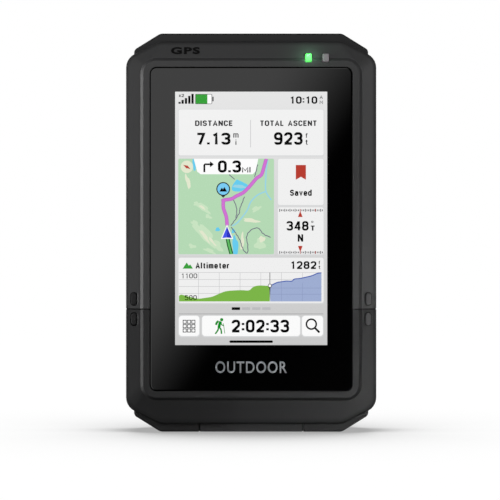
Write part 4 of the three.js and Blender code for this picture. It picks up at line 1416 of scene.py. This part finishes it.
def patch(x, t, across, down, turn, waves, phase):
    """Uneven round patch of a map."""
    count = 20
    points = []
    for k in range(count):
        a = 2 * math.pi * k / count
        r = 1 + waves[0] * math.sin(3 * a + phase) + waves[1] * math.sin(5 * a + 2.1 * phase)
        p = Vector((across * r * math.cos(a), down * r * math.sin(a)))
        points.append(Matrix.Rotation(turn, 2) @ p + Vector((x, t)))
    return points


class Picture:
    """Thin lit shapes in layers. Places are millimetres from the lit area's left and upper edges."""

    def __init__(self):
        self.inks = {name: lit_finish("lit_" + name, rgb) for name, rgb in INKS.items() if name != "page"}
        self.inks["page"] = lit_finish("lit_page", INKS["page"], 0.26)
        self.curves = []

    def height(self, layer):
        return PANEL.front + 0.005 + layer * LAYER_STEP

    def fill(self, ink, layer, *outlines):
        """Outlines inside others are holes."""
        curve = bpy.data.curves.new("picture", "CURVE")
        curve.dimensions = "2D"
        curve.fill_mode = "BOTH"
        curve.extrude = LAYER_THICKNESS / 2
        for outline in outlines:
            spline = curve.splines.new("POLY")
            spline.points.add(len(outline) - 1)
            spline.use_cyclic_u = True
            for spot, (x, t) in zip(spline.points, outline):
                spot.co = (x - DISPLAY["width"] / 2, DISPLAY["top"] - t, 0, 1)
        curve.materials.append(self.inks[ink])
        obj = bpy.data.objects.new("picture", curve)
        obj.location.z = self.height(layer) + LAYER_THICKNESS / 2
        bpy.context.scene.collection.objects.link(obj)
        self.curves.append(obj)

    def text(self, ink, layer, words, left, right, top, bottom, pen=1.55):
        """Words fitted to a box."""
        strokes = pen_words(words, pen)
        spots = [spot for outlines in strokes for outline in outlines for spot in outline]
        low = [min(spot[i] for spot in spots) for i in (0, 1)]
        high = [max(spot[i] for spot in spots) for i in (0, 1)]
        wide = (right - left) / (high[0] - low[0])
        tall = (bottom - top) / (high[1] - low[1])
        for outlines in strokes:
            placed = [
                [Vector((left + (x - low[0]) * wide, bottom - (y - low[1]) * tall)) for x, y in outline]
                for outline in outlines
            ]
            self.fill(ink, layer, *placed)

    def whole(self):
        deselect()
        for obj in self.curves:
            obj.select_set(True)
        bpy.context.view_layer.objects.active = self.curves[0]
        bpy.ops.object.convert(target="MESH")
        return joined(self.curves, "picture")


def tile(picture, left, right, top, bottom, ink="tile", corner=0.5):
    picture.fill("edge", 1, bar(left - 0.2, right + 0.2, top - 0.12, bottom + 0.3, corner + 0.15))
    picture.fill(ink, 2, bar(left, right, top, bottom, corner))


def draw_status_bar(picture):
    starts = (0.95, 1.74, 2.6, 3.46, 4.29)
    heights = (0.47, 0.99, 1.46, 2.03, 2.55)
    picture.fill("black", 1, *[bar(x - 0.08, x + 0.5, 3.12 - h, 3.12) for x, h in zip(starts, heights)])
    picture.text("dark", 1, "x2", 0.95, 2.3, 0.6, 1.4, 1.3)
    picture.fill("dark", 1, bar(5.2, 9.55, 0.62, 3.2, 0.2))
    picture.fill("dark", 1, bar(9.62, 9.92, 1.3, 2.5))
    picture.fill("white", 2, bar(5.3, 9.4, 0.74, 3.08))
    picture.fill("green", 3, bar(5.3, 8.32, 0.74, 3.08))
    picture.text("black", 1, "10:10", 29.76, 36.64, 1.14, 3.12)
    picture.text("dark", 1, "A", 37.25, 38.05, 0.95, 1.85, 1.0)
    picture.text("dark", 1, "M", 37.25, 38.1, 2.25, 3.15, 1.0)


def draw_distance_tile(picture):
    tile(picture, 0.91, 38.25, 4.6, 16.42)
    picture.text("dark", 3, "DISTANCE", 5.15, 14.76, 7.3, 8.86)
    picture.text("black", 3, "7.13", 5.72, 14.29, 10.45, 13.7)
    picture.text("dark", 3, "m", 15.0, 16.35, 10.75, 11.85, 1.0)
    picture.text("dark", 3, "i", 15.55, 15.8, 12.35, 13.7, 1.0)
    picture.fill("pale", 3, bar(19.38, 19.52, 7.33, 14.35))
    picture.text("dark", 3, "TOTAL ASCENT", 21.96, 36.43, 7.3, 8.86)
    picture.text("black", 3, "923", 25.47, 32.87, 10.45, 13.7)
    picture.text("dark", 3, "f", 33.6, 34.15, 10.7, 11.9, 1.0)
    picture.text("dark", 3, "t", 33.6, 34.15, 12.4, 13.7, 1.0)


MAP = {"left": 0.83, "right": 25.47, "top": 17.29, "bottom": 41.9}
ROUTE = [(23.5, 17.29), (22.95, 19.2), (22.25, 21.4), (21.0, 22.3), (19.3, 24.3), (17.6, 26.0), (15.8, 26.9),
         (14.5, 27.65), (12.55, 27.95), (12.42, 28.4), (12.47, 30.1), (13.2, 32.2), (13.4, 34.5)]
WALKED = [(13.45, 37.4), (13.9, 39.6), (14.5, 41.9)]
STREAMS = [
    [(23.9, 17.6), (23.5, 20.0), (23.35, 22.4), (23.4, 25.7), (24.8, 27.9)],
    [(23.4, 25.7), (21.3, 26.6), (19.5, 28.4), (18.5, 30.7), (16.2, 33.6), (14.7, 34.6)],
]
TRAILS = [
    [(21.3, 18.7), (20.9, 20.4), (20.5, 21.9)],
    [(13.9, 21.3), (15.3, 22.6)],
    [(17.9, 27.0), (17.3, 28.6), (16.7, 30.1), (16.5, 31.4), (15.2, 33.4), (14.3, 34.6)],
    [(15.0, 27.9), (15.7, 29.4), (15.9, 31.2), (15.6, 32.6)],
    [(14.4, 34.9), (15.3, 36.0), (15.9, 36.9), (16.8, 38.4), (17.2, 39.9), (18.0, 41.3), (18.7, 41.4),
     (18.7, 39.4), (18.4, 37.6), (19.0, 36.2), (20.2, 35.3), (21.5, 35.2), (22.4, 36.3), (23.3, 37.0),
     (24.6, 37.5)],
]
UPPER_LAKE = [(15.9, 22.6), (17.2, 23.2), (18.8, 24.1), (18.3, 24.9), (16.8, 25.7), (15.0, 25.6),
              (14.6, 24.9), (15.0, 23.8), (15.9, 22.6)]


def clipped(outline):
    """Keeps an outline's points inside the map's frame."""
    return [
        Vector((min(max(p[0], MAP["left"]), MAP["right"]), min(max(p[1], MAP["top"]), MAP["bottom"])))
        for p in outline
    ]


def wiggly(points):
    """A smooth path through the points, with small regular wanders to its sides."""
    reach = 0.06
    path = curved_path(points, 4)
    return [p + Vector((reach * math.sin(2.3 * i), reach * math.cos(1.7 * i))) for i, p in enumerate(path)]


def draw_map(picture):
    tile(picture, MAP["left"], MAP["right"], MAP["top"], MAP["bottom"], "land", 0.4)
    meadows = [
        (7.2, 29.9, 2.1, 0.75, 0.6, 0.2), (5.6, 28.9, 0.9, 0.5, 0.2, 1.4), (8.6, 32.2, 0.9, 0.45, 0.5, 2.0),
        (7.7, 36.8, 3.6, 1.35, 0.85, 0.5), (10.9, 39.7, 1.7, 0.9, 0.9, 1.7), (5.2, 34.0, 1.2, 0.6, 0.7, 0.9),
        (4.4, 39.8, 1.0, 0.5, 0.3, 2.6), (21.9, 39.2, 1.3, 1.5, 0.2, 0.4), (20.9, 30.2, 1.2, 0.6, -0.4, 1.1),
        (8.9, 41.0, 1.5, 0.5, 0.4, 0.1),
    ]
    for x, t, across, down, turn, phase in meadows:
        picture.fill("meadow", 3, clipped(patch(x, t, across, down, turn, (0.22, 0.15), phase)))
    creams = [
        (7.6, 37.2, 2.0, 0.42, 0.95, 0.7), (9.6, 38.6, 1.5, 0.3, 0.9, 1.9), (19.6, 33.2, 2.1, 0.5, 0.15, 1.3),
        (22.4, 38.0, 0.8, 0.75, 0.1, 2.2), (7.0, 29.8, 0.9, 0.3, 0.6, 0.3),
        (17.3, 38.6, 0.42, 2.3, 0.05, 0.8), (3.3, 23.2, 0.5, 1.9, -0.3, 1.2),
    ]
    for x, t, across, down, turn, phase in creams:
        picture.fill("cream", 4, clipped(patch(x, t, across, down, turn, (0.16, 0.12), phase)))
    for stream in STREAMS:
        picture.fill("shallow", 5, clipped(ribbon(stream, 0.36)))
    picture.fill("lake", 6, curved_path(UPPER_LAKE, 3))
    picture.fill("shallow", 7, patch(16.6, 24.45, 1.75, 0.42, 0.1, (0.1, 0.12), 0.6))
    picture.fill("lake", 6, patch(11.0, 35.5, 0.6, 0.5, 0.0, (0.15, 0.1), 0.4))
    picture.fill("lake", 6, clipped(patch(15.5, 39.9, 0.75, 2.7, -0.05, (0.12, 0.1), 1.5)))
    picture.fill("lake", 6, patch(15.0, 35.9, 0.45, 0.6, 0.0, (0.2, 0.1), 1.0))
    picture.fill("lake", 6, clipped(patch(4.9, 18.9, 0.35, 1.6, -0.15, (0.1, 0.1), 1.0)))
    for trail in TRAILS:
        picture.fill("trail", 7, clipped(ribbon(wiggly(trail), 0.22, 1)))
    picture.fill("track_edge", 7, clipped(ribbon(WALKED, 1.05, 1)))
    picture.fill("track", 8, clipped(ribbon(WALKED, 0.5, 1)))
    picture.fill("route_edge", 8, clipped(ribbon(ROUTE, 0.92, 3)))
    picture.fill("route", 9, clipped(ribbon(ROUTE, 0.66, 3)))
    draw_map_marks(picture)


def draw_map_marks(picture):
    picture.fill("white", 9, polygon((4.81, 17.29), (21.44, 17.29), (20.7, 20.6), (20.0, 21.29), (6.6, 21.29),
                                     (5.7, 20.6)))
    picture.fill("black", 10, polygon((7.3, 20.75), (7.3, 18.9), (7.65, 18.5), (9.0, 18.5), (9.0, 17.95),
                                      (10.0, 18.72), (9.0, 19.5), (9.0, 18.95), (7.78, 18.95), (7.78, 20.75)))
    picture.text("black", 10, "0.3", 11.04, 17.02, 17.73, 20.85)
    picture.text("dark", 10, "MI", 17.25, 19.44, 19.4, 20.83, 1.0)
    picture.fill("cream", 9, circle(1.6, 32, 3.04, 19.37))
    for side in (1, -1):
        arm = polygon((side * 0.95, side * 0.55), (side * 0.05, side * -0.45), (side * -0.1, side * 0.3))
        picture.fill("red", 10, [p + Vector((3.04, 19.4)) for p in arm])
    picture.fill("dark", 9, circle(1.77, 40, 12.4, 25.08))
    picture.fill("dark", 9, polygon((11.65, 26.6), (13.15, 26.6), (12.4, 27.35)))
    picture.fill("pin", 10, circle(1.5, 40, 12.4, 25.08))
    picture.fill("black", 11, polygon((11.4, 25.75), (12.05, 24.75), (12.35, 25.15), (12.7, 24.55),
                                      (13.4, 25.75)))
    picture.fill("white", 9, polygon((13.38, 34.2), (15.0, 37.95), (11.8, 37.95)))
    picture.fill("arrow", 10, polygon((13.38, 34.75), (13.38, 37.6), (12.15, 37.72)))
    picture.fill("arrow_dark", 10, polygon((13.38, 34.75), (14.62, 37.72), (13.38, 37.6)))


def draw_side_tiles(picture):
    tile(picture, 26.5, 38.25, 17.29, 29.2)
    picture.fill("red", 3, polygon((31.1, 18.9), (33.7, 18.9), (33.7, 22.7), (32.4, 21.95), (31.1, 22.7)))
    picture.text("black", 3, "Saved", 29.6, 35.2, 25.25, 27.0, 1.7)
    tile(picture, 26.5, 38.25, 29.8, 41.9)
    for low, high in ((30.25, 30.9), (41.1, 41.75)):
        ticks = []
        for i in range(26):
            x = 26.85 + i * 0.44
            extra = 0.14 if i % 3 == 0 else 0.0
            ticks.append(bar(x, x + 0.2, low + 0.1 - extra, high - 0.1 + extra))
        picture.fill("tick", 3, *ticks)
        picture.fill("red", 4, *[bar(x, x + 0.2, low, high) for x in (32.15, 36.0)])
    picture.fill("red", 4, polygon((32.25, 30.7), (32.85, 32.3), (31.65, 32.3)))
    picture.fill("red", 4, polygon((31.65, 39.75), (32.85, 39.75), (32.25, 41.35)))
    picture.text("black", 3, "348", 28.7, 34.4, 33.35, 35.8)
    picture.fill("dark", 3, circle(0.28, 16, 35.35, 33.55), circle(0.14, 16, 35.35, 33.55))
    picture.text("dark", 3, "T", 34.95, 35.95, 34.5, 35.8, 1.5)
    picture.text("black", 3, "N", 31.6, 33.0, 36.75, 38.65)


CLIMB = [(1.0, 52.6), (1.6, 52.3), (2.6, 52.55), (5.7, 53.3), (7.6, 53.15), (9.6, 52.8), (11.7, 51.9),
         (13.5, 51.35), (16.9, 51.15), (19.0, 51.2), (20.0, 50.4), (21.1, 50.0), (22.6, 49.95), (24.4, 50.1)]
AHEAD = [(24.4, 50.1), (26.2, 49.2), (27.3, 49.0), (28.6, 48.8), (30.1, 48.8), (30.7, 48.3), (32.0, 48.15),
         (33.3, 47.9), (35.3, 47.4), (36.7, 46.8), (37.7, 46.7)]
GRAPH_FLOOR = 54.05


def draw_altimeter_tile(picture):
    tile(picture, 0.91, 38.25, 42.8, 54.4)
    picture.fill("green", 3, polygon((1.95, 45.6), (3.0, 44.0), (3.55, 44.85), (3.9, 44.5), (4.6, 45.6)))
    picture.text("black", 3, "Altimeter", 5.25, 13.9, 43.9, 45.6, 1.7)
    picture.text("black", 3, "1282", 29.9, 36.4, 43.6, 45.7)
    picture.text("dark", 3, "f", 36.95, 37.4, 43.6, 44.5, 1.0)
    picture.text("dark", 3, "t", 36.95, 37.4, 44.8, 45.7, 1.0)
    columns = (6.03, 11.38, 16.74, 22.09, 27.4, 32.8)
    picture.fill("pale", 3, *[bar(x - 0.05, x + 0.05, 46.6, GRAPH_FLOOR) for x in columns])
    picture.fill("pale", 4, *[bar(1.0, 37.8, t - 0.05, t + 0.05) for t in (46.6, 48.4, 50.2, 52.0)])
    picture.fill("climb", 5, curved_path(CLIMB, 4) + polygon((24.4, GRAPH_FLOOR), (1.0, GRAPH_FLOOR)))
    picture.fill("ahead", 5, curved_path(AHEAD, 4) + polygon((37.7, GRAPH_FLOOR), (24.5, GRAPH_FLOOR)))
    picture.fill("ahead_grid", 6, *[bar(x - 0.04, x + 0.04, 49.2, GRAPH_FLOOR) for x in (27.4, 32.8)])
    picture.fill("ahead_grid", 7, *[bar(24.5, 37.7, t - 0.05, t + 0.05) for t in (50.6, 52.2)])
    picture.fill("ahead_line", 7, ribbon(AHEAD, 0.26))
    picture.fill("dark", 8, bar(24.34, 24.5, 46.6, GRAPH_FLOOR), circle(0.52, 24, 24.42, 50.0))
    picture.fill("white", 9, circle(0.36, 24, 24.42, 50.0))
    picture.text("dark", 6, "1100", 1.7, 5.7, 46.8, 48.1, 1.0)
    picture.text("black", 6, "500", 2.5, 5.6, 52.45, 53.7, 1.0)


def draw_buttons(picture):
    picture.fill("black", 1, bar(14.6, 16.75, 55.55, 56.25, 0.12))
    picture.fill("pale", 1, *[bar(x, x + 2.15, 55.55, 56.25, 0.12) for x in (17.2, 19.85, 22.45)])
    picture.fill("mid", 1, bar(1.0, 38.2, 57.2, 57.33))
    for left, right in ((0.99, 6.24), (6.96, 32.2), (32.7, 38.1)):
        tile(picture, left, right, 57.75, 62.96, "white", 0.8)
    cells = []
    for column in range(3):
        for row in range(3):
            x, t = 1.98 + column * 1.12, 58.8 + row * 1.12
            cells += [bar(x, x + 1.0, t, t + 1.0), bar(x + 0.18, x + 0.82, t + 0.18, t + 0.82, 0.16)]
    picture.fill("dark", 3, *cells)
    picture.text("black", 3, "2:02:33", 14.55, 29.4, 58.75, 62.05)
    picture.fill("black", 3, circle(1.48, 40, 35.1, 59.9), circle(1.06, 40, 35.1, 59.9))
    picture.fill("black", 4, ribbon([(36.0, 60.85), (37.2, 62.05)], 0.52, 1))
    picture.fill("black", 2, bar(14.0, 25.2, 64.1, 64.72, 0.28))
    draw_walker(picture)


def draw_walker(picture):
    """A walker with a pack and a stick."""
    picture.fill("walker", 3, circle(0.42, 20, 12.0, 58.75))
    picture.fill("walker", 3, ribbon([(11.75, 59.2), (11.45, 60.0), (11.3, 60.8)], 0.72))
    picture.fill("walker", 4, ribbon([(11.2, 59.1), (10.75, 59.5), (10.55, 60.1)], 0.55))
    picture.fill("walker", 4, ribbon([(11.4, 60.7), (11.85, 61.4), (11.95, 62.4)], 0.38))
    picture.fill("walker", 5, ribbon([(11.2, 60.7), (11.0, 61.5), (10.35, 62.4)], 0.38))
    picture.fill("walker", 5, ribbon([(11.75, 59.5), (12.1, 60.1), (12.6, 60.25)], 0.28))
    picture.fill("walker", 4, ribbon([(12.45, 59.7), (12.8, 62.3)], 0.15, 1))


class GPS_OT_add_picture(GpsOperator, bpy.types.Operator):
    """The lit page of trip numbers, map, compass and altimeter on the display"""

    bl_idname = "gps.add_picture"
    bl_label = "Add Screen Picture"

    def make(self, shape, look):
        picture = Picture()
        picture.fill("page", 0, bar(0, DISPLAY["width"], 0, DISPLAY["top"] - DISPLAY["bottom"]))
        for draw in (draw_status_bar, draw_distance_tile, draw_map, draw_side_tiles, draw_altimeter_tile,
                     draw_buttons):
            draw(picture)
        finish(picture.whole(), "screen_picture", None)


# ---------------------------------------------------------------- pieces inside the case


class GPS_OT_finish_inner_parts(GpsOperator, bpy.types.Operator):
    """Finishes for the case solids that are shown as they are"""

    bl_idname = "gps.finish_inner_parts"
    bl_label = "Finish Inner Parts"

    def make(self, shape, look):
        finishes = {
            "chassis_plastic": moulded("chassis_plastic", (0.035, 0.035, 0.037), 0.55, 1800.0, 0.2),
            "foam": foam_finish(),
            "display_panel": panel_finish(),
            "steel": metal("shield_steel", (0.5, 0.51, 0.52), 0.32, (70.0, 1800.0, 70.0)),
            "dark_steel": metal("pin_steel", (0.12, 0.12, 0.125), 0.35),
            "board_resist": board_finish(),
            "flex_circuit": flex_finish(),
            "antenna_ceramic": ceramic_finish(),
            "battery_wrap": wrap_finish(),
            "chip_epoxy": chip_finish(),
            "soft_rubber": rubber("inner_rubber", (0.02, 0.02, 0.021)),
            "white_plastic": moulded("white_plastic", (0.7, 0.7, 0.68), 0.4, 1800.0, 0.15),
            "housing_plastic": moulded("inner_plastic", look.housing, 0.5),
            "key_rubber": rubber("inner_key_rubber", look.keys),
            "green_lens": moulded("led_lens", (0.25, 0.6, 0.32), 0.25, 1800.0, 0.1),
        }
        for name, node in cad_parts.items():
            if node.hide_render:
                continue
            slot = node.data.materials[0].name.split(".")[0]
            if slot not in finishes:
                raise RuntimeError(f"{name} has no finish for {slot}")
            for i in range(max(len(node.material_slots), 1)):
                if not node.material_slots:
                    node.data.materials.append(finishes[slot])
                node.material_slots[i].material = finishes[slot]


# ---------------------------------------------------------------- stage


def area_light(name, place, aim, width, height, power):
    light = bpy.data.lights.new(name, "AREA")
    light.shape = "RECTANGLE"
    light.size = width
    light.size_y = height
    light.energy = power
    obj = bpy.data.objects.new(name, light)
    obj.location = place
    obj.rotation_euler = (Vector(aim) - Vector(place)).to_track_quat("-Z", "Y").to_euler()
    bpy.context.scene.collection.objects.link(obj)
    return obj


def floor_finish():
    """White paper floor that glows evenly, with a painted shadow close under what stands on it: its glow is
    dimmed by ambient occlusion.
    """
    s = new_shader("floor_paper")
    open_sky = s.node(
        "ShaderNodeAmbientOcclusion", {"samples": 24, "only_local": False}, {"Distance": 0.13}
    ).out("AO")
    light = open_sky.above(0.72, 0.5)
    glow = s.blend(light.smooth(), (0.4, 0.4, 0.4, 1), (1.0, 1.0, 1.0, 1))
    paper = s.noise(300.0, 2.0)
    tint = s.blend(paper, (0.0, 0.0, 0.0, 1), (0.01, 0.01, 0.01, 1))
    return s.principled(
        Base_Color=tint, Roughness=1.0, Specular_IOR_Level=0.0, Emission_Color=glow, Emission_Strength=1.0
    )


def reflector_finish(edge, softness, strength):
    """Soft light panel, bright at its upper left and dark at its lower right."""
    s = new_shader("reflector")
    x, _, z = s.axes()
    along = x * 0.85 - z * 0.524
    fade = (1 - along.above(edge, softness)).smooth()
    light = s.node("ShaderNodeEmission", {}, {"Color": (1, 1, 1, 1), "Strength": fade * strength})
    return s.surface(light, "Emission")


def world_light():
    """White for the camera. The object sees soft light from above and little from below."""
    s = Shader(bpy.data.worlds.new("studio"))
    bpy.context.scene.world = s.owner
    direction = s.node("ShaderNodeTexCoord").out("Generated")
    up = s.node("ShaderNodeSeparateXYZ", {}, {"Vector": direction}).out("Z")
    sky = s.blend(up.above(0.1, 1.2), (0.05, 0.05, 0.05, 1), (0.2, 0.2, 0.2, 1))
    camera = s.node("ShaderNodeLightPath").out("Is Camera Ray")
    seen = s.blend(camera, sky, (1, 1, 1, 1))
    ground = s.node("ShaderNodeBackground", {}, {"Color": seen, "Strength": 1.0})
    end = s.node("ShaderNodeOutputWorld")
    s.tree.links.new(ground.node.outputs["Background"], end.node.inputs["Surface"])


class GPS_OT_add_stage(bpy.types.Operator):
    """Level camera, white floor, soft lights and the reflector that the glass mirrors"""

    bl_idname = "gps.add_stage"
    bl_label = "Add Stage"
    bl_options = {"REGISTER", "UNDO"}

    def execute(self, context):
        stage = context.scene.gps_stage
        context.scene.view_settings.view_transform = "Standard"
        context.scene.view_settings.look = "None"
        camera = bpy.data.cameras.new("camera")
        camera.sensor_width = 36
        camera.lens = camera.sensor_width * stage.camera_distance / stage.view_width
        camera.clip_start = 0.01
        eye = bpy.data.objects.new("camera", camera)
        aside = -0.0003
        eye.location = (aside, -BEZEL.front * MM - stage.camera_distance, stage.camera_height)
        eye.rotation_euler = (math.pi / 2, 0, 0)
        context.scene.collection.objects.link(eye)
        context.scene.camera = eye
        world_light()
        self.floor()
        self.lights()
        self.reflector()
        return {"FINISHED"}

    def floor(self):
        deselect()
        bpy.ops.mesh.primitive_plane_add(size=8)
        floor = bpy.context.object
        floor.name = "floor"
        floor.data.materials.append(floor_finish())
        for kind in ("visible_diffuse", "visible_glossy", "visible_shadow"):
            setattr(floor, kind, False)

    def lights(self):
        middle = (0, 0, 0.055)
        area_light("key", (-0.15, -0.65, 0.24), middle, 0.3, 0.3, 0.7)
        area_light("left_strip", (-0.4, 0.0, 0.07), (-0.03, -0.01, 0.06), 0.04, 0.3, 1.2)
        low = area_light("low_right", (0.16, -0.34, -0.07), (0.046, 0, 0.004), 0.03, 0.03, 0.013)
        low.data.spread = math.radians(22)
        area_light("right", (0.26, -0.25, 0.11), middle, 0.12, 0.2, 0.29)
        area_light("back_left", (-0.2, 0.6, 0.3), middle, 0.35, 0.35, 1.6)
        area_light("back_right", (0.3, 0.5, 0.1), middle, 0.3, 0.3, 1.0)
        area_light("side_right", (0.42, 0.26, 0.14), middle, 0.2, 0.35, 0.9)
        self.status_glow()

    def status_glow(self):
        """Small green lamp just in front of the status light, for the halo round it."""
        halo = bpy.data.lights.new("status_glow", "POINT")
        halo.color = (0.42, 1.0, 0.58)
        halo.energy = 0.0008
        halo.shadow_soft_size = 0.0004
        lamp = bpy.data.objects.new("status_glow", halo)
        lamp.location = (STATUS_PIPE.x * MM, -(STATUS_PIPE.front + 1.6) * MM, (STATUS_PIPE.y + 0.9) * MM)
        lamp.visible_glossy = False
        bpy.context.scene.collection.objects.link(lamp)

    def reflector(self):
        deselect()
        bpy.ops.mesh.primitive_plane_add(size=1)
        card = bpy.context.object
        card.name = "reflector"
        width, height = 0.2, 0.24
        card.data.transform(Matrix.Diagonal((width, height, 1, 1)))
        card.data.transform(Matrix.Rotation(math.pi / 2, 4, "X"))
        card.data.transform(Matrix.Translation((0, -0.165, 0.05)))
        card.data.materials.append(reflector_finish(-0.033, 0.033, 1.27))
        for kind in ("visible_camera", "visible_diffuse", "visible_shadow", "visible_transmission"):
            setattr(card, kind, False)


# ---------------------------------------------------------------- panel and start

OPERATORS = (
    GPS_OT_add_stage,
    GPS_OT_add_housing,
    GPS_OT_add_bezels,
    GPS_OT_add_seam_plugs,
    GPS_OT_add_glass,
    GPS_OT_add_picture,
    GPS_OT_add_light_windows,
    GPS_OT_add_keys,
    GPS_OT_add_port_cap,
    GPS_OT_add_back_fittings,
    GPS_OT_add_screws,
    GPS_OT_finish_inner_parts,
)


class GPS_PT_unit(bpy.types.Panel):
    """Adds the unit's pieces one by one"""

    bl_label = "Handheld GPS Unit"
    bl_idname = "GPS_PT_unit"
    bl_space_type = "VIEW_3D"
    bl_region_type = "UI"
    bl_category = "GPS Unit"

    def draw(self, context):
        for settings in (context.scene.gps_shape, context.scene.gps_finish, context.scene.gps_stage):
            box = self.layout.box()
            for name in settings.bl_rna.properties.keys():
                if name not in ("rna_type", "name"):
                    box.prop(settings, name)
        for operator in OPERATORS:
            self.layout.operator(operator.bl_idname)


CLASSES = (GpsShapeSettings, GpsFinishSettings, GpsStageSettings, *OPERATORS, GPS_PT_unit)


def register():
    for cls in CLASSES:
        bpy.utils.register_class(cls)
    bpy.types.Scene.gps_shape = bpy.props.PointerProperty(type=GpsShapeSettings)
    bpy.types.Scene.gps_finish = bpy.props.PointerProperty(type=GpsFinishSettings)
    bpy.types.Scene.gps_stage = bpy.props.PointerProperty(type=GpsStageSettings)


def unregister():
    del bpy.types.Scene.gps_stage
    del bpy.types.Scene.gps_finish
    del bpy.types.Scene.gps_shape
    for cls in reversed(CLASSES):
        bpy.utils.unregister_class(cls)


def main():
    register()
    for operator in OPERATORS:
        getattr(bpy.ops.gps, operator.bl_idname.split(".")[1])()
    deselect()


if __name__ == "__main__":
    main()
